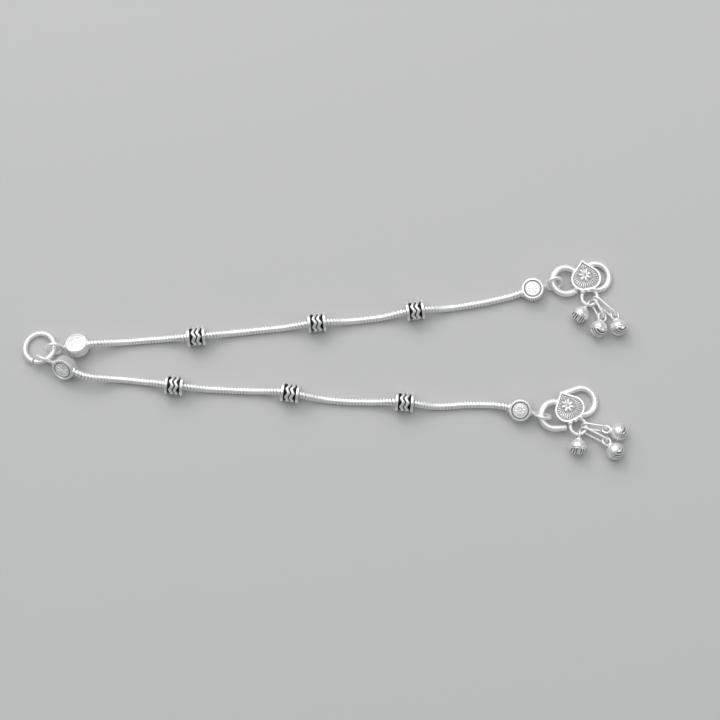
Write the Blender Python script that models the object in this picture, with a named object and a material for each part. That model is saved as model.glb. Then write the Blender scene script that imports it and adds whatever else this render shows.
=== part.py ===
"""Payal anklet: two silver snake chains on one centre ring, with drum beads, stamped coins,
S hooks that carry a leaf plate, and three small bells under each hook.

The anklet lies opened out on a flat surface, +X along its length and +Z up. Each strand runs
from the centre ring at -X to its own S hook at +X. Sizes are in metres.
"""

from bisect import bisect_right
from math import acos, asin, atan2, ceil, cos, degrees, pi, radians, sin, sqrt, tau

import bmesh
import bpy
from mathutils import Matrix, Vector

MM = 0.001

# Driving dimensions: the snake chain and how it lies
CHAIN_DIAMETER = 1.6 * MM
CHAIN_SLOPE = 0.2
CHAIN_POINT_SPACING = 2.1
CHAIN_STRAIGHT_END = 0.8 * MM
REST_GAP = 0.03 * MM

# Driving dimensions: the drum beads
DRUM_DIAMETER = 4.3 * MM
DRUM_LENGTH = 3.9 * MM
DRUM_BORE_GAP = 0.3 * MM
DRUM_FLANGE_WIDTH = 0.6 * MM
DRUM_GROUND_DEPTH = 0.42 * MM
DRUM_RIDGE_HEIGHT = 0.3 * MM
DRUM_RIDGE_SPACING = 1.0 * MM
DRUM_WAVE_HEIGHT = 0.24 * MM
DRUM_WAVES = 6

# Driving dimensions: the coins, their necks and their eyes
COIN_DIAMETER = 5.0 * MM
COIN_THICKNESS = 2.5 * MM
COIN_EDGE_ROUND = 0.25 * MM
COIN_RIM_WIDTH = 0.55 * MM
COIN_GROOVE_WIDTH = 0.3 * MM
COIN_GROOVE_DEPTH = 0.25 * MM
COIN_SOCKET_DEPTH = 0.5 * MM
COIN_SOCKET_GAP = 0.15 * MM
NECK_LENGTH = 0.35 * MM
NECK_DIAMETER = 1.7 * MM
EYE_HOLE = 2.7 * MM
EYE_WIRE = 0.8 * MM

# Driving dimensions: the centre ring that joins the strands
RING_RADIUS = 3.3 * MM
RING_WIRE = 1.15 * MM
RING_CUT = 0.35 * MM
RING_CUT_ANGLE = -110.0
WIRE_REST_DROP = 0.25 * MM

# Driving dimensions: the S hooks
HOOK_LOOP_RADIUS = 2.95 * MM
HOOK_LOOP_SPACING = 6.8 * MM
HOOK_WIRE = 1.4 * MM
HOOK_TAIL_GAP = 0.3 * MM

# Driving dimensions: the leaf plate on a hook, its grains and its bail
LEAF_LENGTH = 6.7 * MM
LEAF_WIDTH = 6.6 * MM
LEAF_LOBE_RADIUS = 2.55 * MM
LEAF_THICKNESS = 0.75 * MM
LEAF_SINK = 0.12 * MM
LEAF_RIM_WIDTH = 0.42 * MM
LEAF_RELIEF = 0.28 * MM
LEAF_TIP_OVERHANG = 0.12 * MM
LEAF_RIB_WIDTH = 0.26 * MM
GRAIN_DIAMETER = 1.05 * MM
GRAIN_SPACING = 1.35 * MM
BAIL_RADIUS = 1.75 * MM
BAIL_WIRE = 0.75 * MM
BAIL_LAP = 0.15 * MM

# Driving dimensions: the bells and their long links
BELL_DIAMETER = 4.0 * MM
BELL_HEIGHT = 3.7 * MM
BELL_WALL = 0.32 * MM
BELL_SEAM_HEIGHT = 0.1 * MM
BELL_SEAM_WIDTH = 0.5 * MM
BELL_CUT_SPACING = 0.5 * MM
BELL_CUT_WIDTH = 0.24 * MM
BELL_CUT_DEPTH = 0.16 * MM
BELL_CUT_START = 0.6 * MM
BELL_SLOT_WIDTH = 0.5 * MM
BELL_SLOT_DEPTH = 0.75 * MM
BELL_REACH = 2.8 * MM
BELL_LOOP_GAP = 0.25 * MM
BELL_LOOP_WIRE = 0.55 * MM
LINK_WIRE = 0.55 * MM
LINK_WIDTH = 2.5 * MM
LINK_GAP = 0.27 * MM
LINK_ROLL = 26.0
LINK_SHORT = 4.9 * MM
LINK_MIDDLE = 5.9 * MM
LINK_LONG = 6.65 * MM

# How finely round shapes are divided
TURNED_SIDES = 12
COIN_SIDES = 16
RING_STEPS = 20
EYE_STEPS = 14
LOOP_STEPS = 10
ROUTE_SAMPLES = 24

# Route of each strand in plan, from the centre ring's side to the hook's side, in millimetres.
# "coin" is where the chain enters a coin's edge, "drum" is the middle of a drum bead.
UPPER_ROUTE = [
    (-51.8, 3.14, "coin"),
    (-48.6, 3.45, ""),
    (-43.3, 3.9, ""),
    (-36.7, 4.45, ""),
    (-28.2, 4.9, "drum"),
    (-20.9, 5.8, ""),
    (-14.3, 6.5, ""),
    (-6.4, 7.35, ""),
    (-1.8, 8.0, "drum"),
    (4.2, 8.4, ""),
    (12.1, 9.3, ""),
    (19.8, 10.7, "drum"),
    (26.6, 11.35, ""),
    (34.5, 12.6, ""),
    (41.1, 14.1, ""),
    (43.4, 14.8, "coin"),
]
LOWER_ROUTE = [
    (-54.5, -3.15, "coin"),
    (-53.2, -3.75, ""),
    (-51.7, -4.15, ""),
    (-49.9, -4.35, ""),
    (-43.3, -4.6, ""),
    (-37.4, -5.3, ""),
    (-32.8, -5.95, "drum"),
    (-27.5, -6.5, ""),
    (-18.7, -6.95, ""),
    (-11.7, -7.2, ""),
    (-7.5, -7.6, "drum"),
    (-2.4, -8.6, ""),
    (4.2, -9.35, ""),
    (12.1, -9.55, ""),
    (17.4, -9.65, "drum"),
    (22.7, -10.4, ""),
    (26.6, -10.4, ""),
    (30.6, -10.1, ""),
    (35.9, -10.1, ""),
    (38.3, -10.4, ""),
    (40.2, -10.8, "coin"),
]

# How each coin lies: turn from the chain's heading, roll about its axis, extra roll of its eye,
# and how far the ring or hook in its eye sits from the eye's middle towards the coin.
COIN_POSES = {
    "upper_inner": {"turn": 2.0, "roll": 25.0, "eye_roll": 0.0, "slack": -0.2 * MM},
    "lower_inner": {"turn": 2.0, "roll": -45.0, "eye_roll": 40.0, "slack": 0.3 * MM},
    "upper_outer": {"turn": -2.0, "roll": -4.0, "eye_roll": -26.0, "slack": 0.3 * MM},
    "lower_outer": {"turn": -2.0, "roll": 14.0, "eye_roll": 8.0, "slack": 0.3 * MM},
}

# How each hook lies: heading of its long side, where on its first loop the coin's eye sits,
# where its two tails leave their circles, how long the first one runs straight, and how its leaf
# plate is turned and shifted from the middle of the S.
HOOK_POSES = {
    "upper": {
        "heading": 8.0,
        "eye_angle": 188.0,
        "tail_angle": 75.0,
        "tail": 1.4 * MM,
        "far_tail_angle": 75.0,
        "leaf_turn": -86.0,
        "leaf_shift": 0.55 * MM,
    },
    "lower": {
        "heading": 27.3,
        "eye_angle": 154.0,
        "tail_angle": 110.0,
        "tail": 2.2 * MM,
        "far_tail_angle": 97.0,
        "leaf_turn": -90.0,
        "leaf_shift": -0.1 * MM,
    },
}

# How each bell hangs from a bail: where on the bail, its link's length and heading (no link
# for the bell that sits on the bail itself), and the bell's own heading. Angles are in plan.
BELL_POSES = {
    "upper": [
        {"on_bail": -110.0, "link_length": None, "link_heading": None, "heading": -124.0},
        {"on_bail": -54.0, "link_length": LINK_SHORT, "link_heading": -62.0, "heading": -107.0},
        {"on_bail": -22.0, "link_length": LINK_LONG, "link_heading": -42.0, "heading": -76.0},
    ],
    "lower": [
        {"on_bail": -86.0, "link_length": None, "link_heading": None, "heading": -96.0},
        {"on_bail": -29.0, "link_length": LINK_LONG, "link_heading": -28.0, "heading": -50.0},
        {"on_bail": 4.0, "link_length": LINK_MIDDLE, "link_heading": -10.0, "heading": -12.0},
    ],
}

COIN_RADIUS = COIN_DIAMETER / 2
EYE_RADIUS = (EYE_HOLE + EYE_WIRE) / 2
EYE_OFFSET = COIN_RADIUS + NECK_LENGTH + EYE_RADIUS + EYE_WIRE / 2
CHAIN_REST_HEIGHT = CHAIN_DIAMETER / 2 + REST_GAP
DRUM_REST_HEIGHT = DRUM_DIAMETER / 2 * cos(pi / TURNED_SIDES) + REST_GAP
BELL_REST_HEIGHT = BELL_DIAMETER / 2 + REST_GAP
LEAF_SEAT = HOOK_WIRE / 2 - LEAF_SINK
UP = Vector((0.0, 0.0, 1.0))


def make_material(name, colour, roughness):
    """A metal finish: its colour and how rough it is."""
    material = bpy.data.materials.new(name)
    material.use_nodes = True
    shader = material.node_tree.nodes["Principled BSDF"]
    shader.inputs["Base Color"].default_value = (*colour, 1.0)
    shader.inputs["Metallic"].default_value = 1.0
    shader.inputs["Roughness"].default_value = roughness
    material.diffuse_color = (*colour, 1.0)
    return material


def make_object(name, mesh, material, matrix, parent):
    """One named sub-part with its own material, placed under the anklet's empty."""
    shape = bpy.data.objects.new(name, mesh)
    bpy.context.scene.collection.objects.link(shape)
    mesh.materials.clear()
    mesh.materials.append(material)
    mesh.shade_smooth()
    mesh.set_sharp_from_angle(angle=radians(35.0))
    shape.matrix_world = matrix
    shape.parent = parent
    return shape


def finish_mesh(name, build):
    """Close and orient a bmesh and return it as a mesh."""
    bmesh.ops.remove_doubles(build, verts=build.verts, dist=0.0005 * MM)
    bmesh.ops.recalc_face_normals(build, faces=build.faces)
    mesh = bpy.data.meshes.new(name)
    build.to_mesh(mesh)
    build.free()
    return mesh


def evaluated_mesh(shape):
    """The mesh that an object shows, with its modifiers or its bevel worked out."""
    bpy.context.view_layer.update()
    graph = bpy.context.evaluated_depsgraph_get()
    return bpy.data.meshes.new_from_object(shape.evaluated_get(graph))


def wire_mesh(name, points, diameter, closed, resolution=1):
    """A round wire bent along the points: a bevelled curve with filled ends."""
    curve = bpy.data.curves.new(name, "CURVE")
    curve.dimensions = "3D"
    curve.bevel_depth = diameter / 2
    curve.bevel_resolution = resolution
    curve.use_fill_caps = True
    spline = curve.splines.new("POLY")
    spline.points.add(len(points) - 1)
    for point, place in zip(spline.points, points):
        point.co = (*place, 1.0)
    spline.use_cyclic_u = closed
    holder = bpy.data.objects.new(name, curve)
    bpy.context.scene.collection.objects.link(holder)
    build = bmesh.new()
    build.from_mesh(evaluated_mesh(holder))
    bpy.data.objects.remove(holder)
    return finish_mesh(name, build)


def turned_mesh(name, profile, sides, closed_profile=False):
    """A profile of (radius, height) pairs turned round the Z axis."""
    build = bmesh.new()
    verts = [build.verts.new((radius, 0.0, height)) for radius, height in profile]
    for first, second in zip(verts, verts[1:]):
        build.edges.new((first, second))
    if closed_profile:
        build.edges.new((verts[-1], verts[0]))
    bmesh.ops.spin(
        build,
        geom=list(build.verts) + list(build.edges),
        cent=(0.0, 0.0, 0.0),
        axis=(0.0, 0.0, 1.0),
        angle=tau,
        steps=sides,
        use_merge=True,
    )
    return finish_mesh(name, build)


def moved(mesh, matrix):
    """The same mesh, placed within its piece."""
    mesh.transform(matrix)
    return mesh


def combined(name, base, joined=(), cut=()):
    """One solid: the base fused with the joined meshes, less the cut ones."""
    shape = bpy.data.objects.new(name, base)
    bpy.context.scene.collection.objects.link(shape)
    helpers = []
    for operation, meshes in (("UNION", joined), ("DIFFERENCE", cut)):
        for mesh in meshes:
            helper = bpy.data.objects.new(name + "_helper", mesh)
            bpy.context.scene.collection.objects.link(helper)
            helpers.append(helper)
            modifier = shape.modifiers.new(operation.title(), "BOOLEAN")
            modifier.operation = operation
            modifier.solver = "EXACT"
            modifier.object = helper
    build = bmesh.new()
    build.from_mesh(evaluated_mesh(shape))
    for helper in helpers:
        bpy.data.objects.remove(helper)
    bpy.data.objects.remove(shape)
    bmesh.ops.triangulate(build, faces=build.faces)
    return finish_mesh(name, build)


def circle_points(radius, steps, start=0.0, sweep=360.0, centre=(0.0, 0.0)):
    """Points on a flat circle or arc; a full turn leaves its last point out."""
    count = steps if abs(sweep) >= 360.0 else steps + 1
    angles = [radians(start + sweep * index / steps) for index in range(count)]
    return [
        Vector((centre[0] + radius * cos(angle), centre[1] + radius * sin(angle), 0.0))
        for angle in angles
    ]


def flat_direction(heading):
    """A level unit vector at a heading in degrees, measured from +X towards +Y."""
    return Vector((cos(radians(heading)), sin(radians(heading)), 0.0))


def frame_matrix(origin, x_axis, y_axis, z_axis):
    """A placing matrix from an origin and three square unit axes."""
    matrix = Matrix((x_axis, y_axis, z_axis)).transposed().to_4x4()
    matrix.translation = origin
    return matrix


def smooth_step(share):
    """A level start, a climb and a level end, for a share from 0 to 1."""
    return share * share * (3.0 - 2.0 * share)


def curve_between(before, first, second, after, share):
    """A point of the smooth curve that passes through first and second."""
    return 0.5 * (
        2.0 * first
        + (second - before) * share
        + (2.0 * before - 5.0 * first + 4.0 * second - after) * share**2
        + (3.0 * first - before - 3.0 * second + after) * share**3
    )


class Route:
    """A strand's way in plan: a smooth curve that can be read at any distance along it."""

    def __init__(self, listed):
        places = [Vector((x * MM, y * MM)) for x, y, _ in listed]
        padded = [2 * places[0] - places[1], *places, 2 * places[-1] - places[-2]]
        self.samples = []
        for index in range(1, len(padded) - 2):
            four = padded[index - 1 : index + 3]
            for step in range(ROUTE_SAMPLES):
                self.samples.append(curve_between(*four, step / ROUTE_SAMPLES))
        self.samples.append(places[-1])
        self.distances = [0.0]
        for first, second in zip(self.samples, self.samples[1:]):
            self.distances.append(self.distances[-1] + (second - first).length)
        self.length = self.distances[-1]
        self.drums = [
            self.distances[index * ROUTE_SAMPLES]
            for index, (_, _, carrier) in enumerate(listed)
            if carrier == "drum"
        ]

    def place(self, distance):
        """Plan position at a distance; past an end it goes straight on."""
        index = bisect_right(self.distances, distance) - 1
        index = min(max(index, 0), len(self.samples) - 2)
        first, second = self.samples[index], self.samples[index + 1]
        span = self.distances[index + 1] - self.distances[index]
        return first + (second - first) * ((distance - self.distances[index]) / span)

    def heading(self, distance, reach=0.4 * MM):
        """Heading in degrees, read over a short reach on both sides."""
        step = self.place(distance + reach) - self.place(distance - reach)
        return degrees(atan2(step.y, step.x))


def chain_height(route, end_heights, distance):
    """Height of the chain's middle: on the surface, and lifted by drums and coins."""
    half_drum = DRUM_LENGTH / 2
    start, end = CHAIN_STRAIGHT_END, route.length - CHAIN_STRAIGHT_END
    supports = [(start, start, end_heights[0])]
    for drum in route.drums:
        supports.append((drum - half_drum, drum + half_drum, DRUM_REST_HEIGHT))
    supports.append((end, end, end_heights[1]))
    for (_, left, left_height), (right, _, right_height) in zip(supports, supports[1:]):
        if distance > right:
            continue
        left_run = (left_height - CHAIN_REST_HEIGHT) / CHAIN_SLOPE
        right_run = (right_height - CHAIN_REST_HEIGHT) / CHAIN_SLOPE
        fit = min(1.0, (right - left) / (left_run + right_run))
        from_left = max(distance - left, 0.0) / (left_run * fit)
        from_right = (right - max(distance, left)) / (right_run * fit)
        if from_left < 1.0:
            return left_height + (CHAIN_REST_HEIGHT - left_height) * smooth_step(from_left)
        if from_right < 1.0:
            return right_height + (CHAIN_REST_HEIGHT - right_height) * smooth_step(from_right)
        return CHAIN_REST_HEIGHT
    return end_heights[1]


def chain_end(coin):
    """The chain's last stretch at a coin: straight along the coin's axis into its socket."""
    inside = COIN_SOCKET_DEPTH - COIN_SOCKET_GAP - COIN_RADIUS
    outside = -COIN_RADIUS - CHAIN_STRAIGHT_END
    return [coin @ Vector((along, 0.0, 0.0)) for along in (inside, outside)]


def chain_mesh(name, route, coins):
    """The plain tube that the snake chain fills, from socket to socket."""
    first, last = chain_end(coins["inner"]), chain_end(coins["outer"])
    end_heights = (first[1].z, last[1].z)
    length = route.length - 2 * CHAIN_STRAIGHT_END
    steps = ceil(length / (CHAIN_POINT_SPACING * CHAIN_DIAMETER))
    points = list(first)
    for index in range(1, steps):
        distance = CHAIN_STRAIGHT_END + length * index / steps
        place = route.place(distance)
        height = chain_height(route, end_heights, distance)
        points.append(Vector((place.x, place.y, height)))
    points += reversed(last)
    return wire_mesh(name, points, CHAIN_DIAMETER, closed=False, resolution=2)


def drum_mesh(name):
    """A bored drum: a flange at each end and two raised zigzag ridges on a sunk ground.

    It is turned by half a side, so that it rests on a flat of its flanges.
    """
    bore = CHAIN_DIAMETER / 2 + DRUM_BORE_GAP
    outer = DRUM_DIAMETER / 2
    ground = outer - DRUM_GROUND_DEPTH
    crest = ground + DRUM_RIDGE_HEIGHT
    end = DRUM_LENGTH / 2
    inner = end - DRUM_FLANGE_WIDTH
    bevel = DRUM_FLANGE_WIDTH / 5
    ridge = DRUM_RIDGE_SPACING / 2
    upper_half = [
        (crest, ridge),
        (ground, inner),
        (outer, inner),
        (outer, end - bevel),
        (outer - bevel, end),
        (bore, end),
    ]
    lower_half = [(radius, -height) for radius, height in reversed(upper_half)]
    profile = lower_half + [(ground, 0.0)] + upper_half
    mesh = turned_mesh(name, profile, TURNED_SIDES, closed_profile=True)
    for vert in mesh.vertices:
        radius = Vector((vert.co.x, vert.co.y)).length
        on_ridge = abs(abs(vert.co.z) - ridge) < bevel and abs(radius - crest) < bevel
        in_valley = abs(vert.co.z) < bevel and abs(radius - ground) < bevel
        if on_ridge or in_valley:
            wave = cos(DRUM_WAVES * atan2(vert.co.y, vert.co.x))
            vert.co.z += DRUM_WAVE_HEIGHT * wave
    return moved(mesh, Matrix.Rotation(pi / TURNED_SIDES, 4, "Z"))


def coin_mesh(name, eye_roll):
    """A stamped coin with a neck and an eye at +X and a chain socket at -X, in one piece."""
    half = COIN_THICKNESS / 2
    rim_inner = COIN_RADIUS - COIN_RIM_WIDTH
    groove_inner = rim_inner - COIN_GROOVE_WIDTH
    slope = COIN_GROOVE_WIDTH / 3
    profile = [
        (0.0, half),
        (groove_inner / 2, half - COIN_GROOVE_DEPTH / 5),
        (groove_inner - slope, half - COIN_GROOVE_DEPTH / 2),
        (groove_inner, half - COIN_GROOVE_DEPTH),
        (rim_inner, half - COIN_GROOVE_DEPTH),
        (rim_inner + slope, half),
        (COIN_RADIUS - COIN_EDGE_ROUND, half),
        (COIN_RADIUS, half - COIN_EDGE_ROUND),
        (COIN_RADIUS, COIN_EDGE_ROUND - half),
        (COIN_RADIUS - COIN_EDGE_ROUND, -half),
        (0.0, -half),
    ]
    disc = turned_mesh(name, profile, COIN_SIDES)
    turn = Matrix.Rotation(radians(eye_roll), 4, "X") @ Matrix.Rotation(pi / 2, 4, "X")
    ring = wire_mesh(name, circle_points(EYE_RADIUS, EYE_STEPS), EYE_WIRE, closed=True)
    eye = moved(ring, Matrix.Translation((EYE_OFFSET, 0.0, 0.0)) @ turn)
    neck_start = COIN_RADIUS - NECK_DIAMETER / 4
    neck_end = COIN_RADIUS + NECK_LENGTH + EYE_WIRE * 0.6
    neck_tip = EYE_WIRE * 0.42
    neck_profile = [
        (0.0, neck_start),
        (NECK_DIAMETER / 2, neck_start),
        (NECK_DIAMETER / 2, COIN_RADIUS),
        (neck_tip, neck_end),
        (0.0, neck_end),
    ]
    along = Matrix.Rotation(pi / 2, 4, "Y")
    neck = moved(turned_mesh(name, neck_profile, 10), along)
    socket_radius = CHAIN_DIAMETER / 2 + COIN_SOCKET_GAP
    socket_profile = [
        (0.0, COIN_RADIUS - COIN_SOCKET_DEPTH),
        (socket_radius, COIN_RADIUS - COIN_SOCKET_DEPTH),
        (socket_radius, COIN_RADIUS + COIN_SOCKET_DEPTH),
        (0.0, COIN_RADIUS + COIN_SOCKET_DEPTH),
    ]
    socket = moved(turned_mesh(name, socket_profile, 10), along.inverted())
    return combined(name, disc, joined=[neck, eye], cut=[socket])


def coin_matrix(entry, chain_heading, pose):
    """Place a coin at the chain's end so that its rim and its eye both touch the surface."""
    heading = chain_heading + pose["turn"]
    roll = radians(pose["roll"])
    eye_roll = roll + radians(pose["eye_roll"])
    drop = 0.0
    for _ in range(6):
        upright = cos(roll) * cos(drop)
        tipped = sqrt(1.0 - upright**2)
        coin_height = COIN_RADIUS * tipped + COIN_THICKNESS / 2 * upright + REST_GAP
        eye_lean = sin(eye_roll) * cos(drop)
        eye_height = EYE_RADIUS * sqrt(1.0 - eye_lean**2) + EYE_WIRE / 2 + REST_GAP
        drop = asin((coin_height - eye_height) / EYE_OFFSET)
    turn = Matrix.Rotation(radians(heading), 4, "Z") @ Matrix.Rotation(drop, 4, "Y")
    centre = Vector((entry.x, entry.y, coin_height)) + flat_direction(heading) * COIN_RADIUS
    return Matrix.Translation(centre) @ turn @ Matrix.Rotation(roll, 4, "X")


def seat_in_eye(coin, slack):
    """Where the middle of a wire lies in a coin's eye."""
    seat = coin @ Vector((EYE_OFFSET - slack, 0.0, 0.0))
    return seat - UP * WIRE_REST_DROP


def ring_piece(upper_seat, lower_seat):
    """The cut centre ring and its place: through both eyes, its far side on the surface."""
    chord = lower_seat - upper_seat
    middle = (upper_seat + lower_seat) / 2
    across = chord.normalized()
    depth = sqrt(RING_RADIUS**2 - (chord.length / 2) ** 2)
    fall = middle.z - RING_WIRE / 2 - REST_GAP
    dip = asin(fall / (depth + RING_RADIUS))
    level_out = across.cross(UP).normalized()
    outward = level_out * cos(dip) - UP * sin(dip)
    centre = middle + outward * depth
    normal = outward.cross(across).normalized()
    if normal.z < 0.0:
        normal = -normal
    x_axis = (Vector((1.0, 0.0, 0.0)) - normal * normal.x).normalized()
    matrix = frame_matrix(centre, x_axis, normal.cross(x_axis), normal)
    half_cut = degrees(RING_CUT / 2 / RING_RADIUS)
    start = RING_CUT_ANGLE + half_cut
    points = circle_points(RING_RADIUS, RING_STEPS, start, 360.0 - 2 * half_cut - 0.001)
    return wire_mesh("centre_ring", points, RING_WIRE, closed=False), matrix


def leaf_outline(inset):
    """Outline of the leaf plate from its tip at the origin towards its base at +X."""
    radius = LEAF_LOBE_RADIUS - inset
    centre = Vector((LEAF_LENGTH - LEAF_LOBE_RADIUS, LEAF_WIDTH / 2 - LEAF_LOBE_RADIUS))
    lean = atan2(centre.y, centre.x) + asin(LEAF_LOBE_RADIUS / centre.length)
    points = [Vector((inset / sin(lean), 0.0, 0.0))]
    for side in (1, -1):
        arc = circle_points(radius, 6, degrees(lean) + 90.0, -degrees(lean) - 90.0)
        lobe = [Vector((centre.x + p.x, side * (centre.y + p.y), 0.0)) for p in arc]
        points += lobe if side == 1 else lobe[::-1]
    return points


def slab_mesh(name, outline, bottom, top):
    """An outline drawn up into a plate between two heights."""
    build = bmesh.new()
    face = build.faces.new([build.verts.new((p.x, p.y, bottom)) for p in outline])
    grown = bmesh.ops.extrude_face_region(build, geom=[face])
    upper = [item for item in grown["geom"] if isinstance(item, bmesh.types.BMVert)]
    bmesh.ops.translate(build, verts=upper, vec=(0.0, 0.0, top - bottom))
    return finish_mesh(name, build)


def leaf_pieces(name):
    """The leaf plate with its sunk field, its raised bud and its raised ribs."""
    top = LEAF_THICKNESS + LEAF_RELIEF
    plate = slab_mesh(name, leaf_outline(0.0), 0.0, top)
    field_floor = LEAF_THICKNESS
    field = slab_mesh(name, leaf_outline(LEAF_RIM_WIDTH), field_floor, top + LEAF_RELIEF)
    plate = combined(name, plate, cut=[field])
    root = LEAF_THICKNESS * 0.6
    crest = LEAF_THICKNESS + LEAF_RELIEF * 0.8
    bud_length = LEAF_LENGTH * 0.36
    bud_start = LEAF_LENGTH * 0.5
    bud = []
    for index in range(10):
        angle = tau * index / 10
        swell = 0.5 + 0.5 * cos(angle)
        along = bud_start + bud_length * (0.5 + 0.5 * cos(angle))
        bud.append(Vector((along, bud_length * 0.42 * sin(angle) * (0.55 + 0.45 * swell), 0.0)))
    raised = [slab_mesh(name, bud, root, crest)]
    stem = LEAF_RIB_WIDTH / 2
    midrib = [
        Vector((LEAF_LENGTH * 0.2, -stem, 0.0)),
        Vector((bud_start + stem, -stem, 0.0)),
        Vector((bud_start + stem, stem, 0.0)),
        Vector((LEAF_LENGTH * 0.2, stem, 0.0)),
    ]
    raised.append(slab_mesh(name, midrib, root, crest))
    field_side = LEAF_WIDTH / 2 - LEAF_RIM_WIDTH
    for side in (1, -1):
        for share, lean in ((0.47, 35.0), (0.62, 55.0), (0.77, 75.0)):
            start = Vector((LEAF_LENGTH * share, side * bud_length * 0.45, 0.0))
            direction = flat_direction(side * lean)
            reach = (field_side * 0.62) * (0.75 + 0.3 * share)
            offset = Vector((-direction.y, direction.x, 0.0)) * stem
            end = start + direction * reach
            rib = [start - offset, end - offset, end + offset, start + offset]
            raised.append(slab_mesh(name, rib, root, crest))
    return plate, raised


def loop_path(tail_angle):
    """An open loop about the origin, from where its tail leaves it to where the S runs on."""
    lean = degrees(acos(2 * HOOK_LOOP_RADIUS / HOOK_LOOP_SPACING))
    return circle_points(HOOK_LOOP_RADIUS, 13, -tail_angle, tail_angle + lean - 360.0)


def far_tail_length(leave, direction):
    """How far the second loop's tail runs straight until it is a gap short of the first loop."""
    stop = HOOK_LOOP_RADIUS + HOOK_WIRE + HOOK_TAIL_GAP
    along = leave.dot(direction)
    return -along - sqrt(along**2 - leave.length_squared + stop**2)


def hook_path(pose):
    """Middle line of the S wire, from the first loop's tail to the second loop's tail.

    Each loop is drawn about the origin, and the second one is turned by half a turn. Its tail
    runs on under the leaf plate's tip.
    """
    centre = Vector((HOOK_LOOP_SPACING, 0.0, 0.0))
    first = loop_path(pose["tail_angle"])
    first.insert(0, first[0] + flat_direction(90.0 - pose["tail_angle"]) * pose["tail"])
    second = [centre - point for point in reversed(loop_path(pose["far_tail_angle"]))]
    direction = flat_direction(270.0 - pose["far_tail_angle"])
    second.append(second[-1] + direction * far_tail_length(second[-1], direction))
    return first + second


def hook_mesh(name, pose):
    """The S wire with its leaf plate, three grains and bail, soldered as one piece."""
    wire = wire_mesh(name, hook_path(pose), HOOK_WIRE, closed=False)
    leaf_turn = Matrix.Rotation(radians(pose["leaf_turn"]), 4, "Z")
    leaf_place = Matrix.Translation(leaf_tip(pose)) @ leaf_turn
    plate, raised = leaf_pieces(name)
    parts = [moved(plate, leaf_place)]
    parts += [moved(mesh, leaf_place) for mesh in raised]
    ring = wire_mesh(name, circle_points(BAIL_RADIUS, EYE_STEPS), BAIL_WIRE, closed=True)
    parts.append(moved(ring, Matrix.Translation(bail_centre(pose))))
    for place in (-1, 0, 1):
        build = bmesh.new()
        bmesh.ops.create_uvsphere(
            build, u_segments=10, v_segments=6, radius=GRAIN_DIAMETER / 2
        )
        grain = finish_mesh(name, build)
        spot = Vector((LEAF_LENGTH + GRAIN_DIAMETER * 0.1, place * GRAIN_SPACING, 0.0))
        height = UP * (LEAF_THICKNESS * 0.75)
        parts.append(moved(grain, leaf_place @ Matrix.Translation(spot + height)))
    return combined(name, wire, joined=parts)


def leaf_tip(pose):
    """The leaf plate's tip in the hook's own frame."""
    across = HOOK_LOOP_SPACING / 2 + pose["leaf_shift"]
    above = HOOK_LOOP_RADIUS + HOOK_WIRE / 2 + LEAF_TIP_OVERHANG
    return Vector((across, above, LEAF_SEAT))


def bail_centre(pose):
    """The bail's middle in the hook's own frame: it laps the leaf plate's base."""
    reach = LEAF_LENGTH + BAIL_RADIUS - BAIL_LAP
    base = leaf_tip(pose) + flat_direction(pose["leaf_turn"]) * reach
    return Vector((base.x, base.y, LEAF_SEAT + BAIL_WIRE * 0.1))


def hook_matrix(seat, pose):
    """Place a hook: its first loop in the coin's eye, its second loop on the surface."""
    grip = circle_points(HOOK_LOOP_RADIUS, 360, pose["eye_angle"])[0]
    run = HOOK_LOOP_SPACING + HOOK_LOOP_RADIUS - grip.x
    dip = asin((seat.z - HOOK_WIRE / 2 - REST_GAP) / run)
    turn = Matrix.Rotation(radians(pose["heading"]), 4, "Z") @ Matrix.Rotation(dip, 4, "Y")
    return Matrix.Translation(seat - turn @ grip) @ turn


def link_mesh(name, length):
    """A long oval link in its XY plane, its long side along X."""
    end_radius = (LINK_WIDTH - LINK_WIRE) / 2
    reach = (length - LINK_WIRE) / 2 - end_radius
    right = circle_points(end_radius, 6, -90.0, 180.0, centre=(reach, 0.0))
    left = circle_points(end_radius, 6, 90.0, 180.0, centre=(-reach, 0.0))
    return wire_mesh(name, right + left, LINK_WIRE, closed=True)


def link_matrix(grip, length, heading):
    """Place a link so that the bail's wire lies in its near end; also return its far end."""
    along = flat_direction(heading)
    side = Vector((-along.y, along.x, 0.0))
    roll = radians(LINK_ROLL)
    short = UP * cos(roll) + side * sin(roll)
    half = (length - LINK_WIRE) / 2
    seat = BAIL_WIRE / 2 + LINK_GAP + LINK_WIRE / 2
    centre = grip + along * (half - seat)
    return frame_matrix(centre, along, short, along.cross(short)), centre + along * half, short


def bell_body(name, sink):
    """The bell's body of revolution with its seam, drawn in by the sink."""
    radius = BELL_DIAMETER / 2 - BELL_SEAM_HEIGHT - sink
    half = BELL_HEIGHT / 2 - sink
    seam = BELL_SEAM_WIDTH / 2
    upper_half = []
    for angle in (0.0, 28.0, 55.0, 76.0):
        upper_half.append((radius * sin(radians(angle)), half * cos(radians(angle))))
    upper_half.append((radius + BELL_SEAM_HEIGHT, seam * 0.4))
    lower_half = [(across, -height) for across, height in reversed(upper_half)]
    return turned_mesh(name, upper_half + lower_half, TURNED_SIDES)


def box_mesh(name, size, place):
    """A box of a size about a place."""
    build = bmesh.new()
    bmesh.ops.create_cube(build, size=1.0)
    box = finish_mesh(name, build)
    return moved(box, Matrix.Translation(place) @ Matrix.Diagonal((*size, 1.0)))


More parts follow.
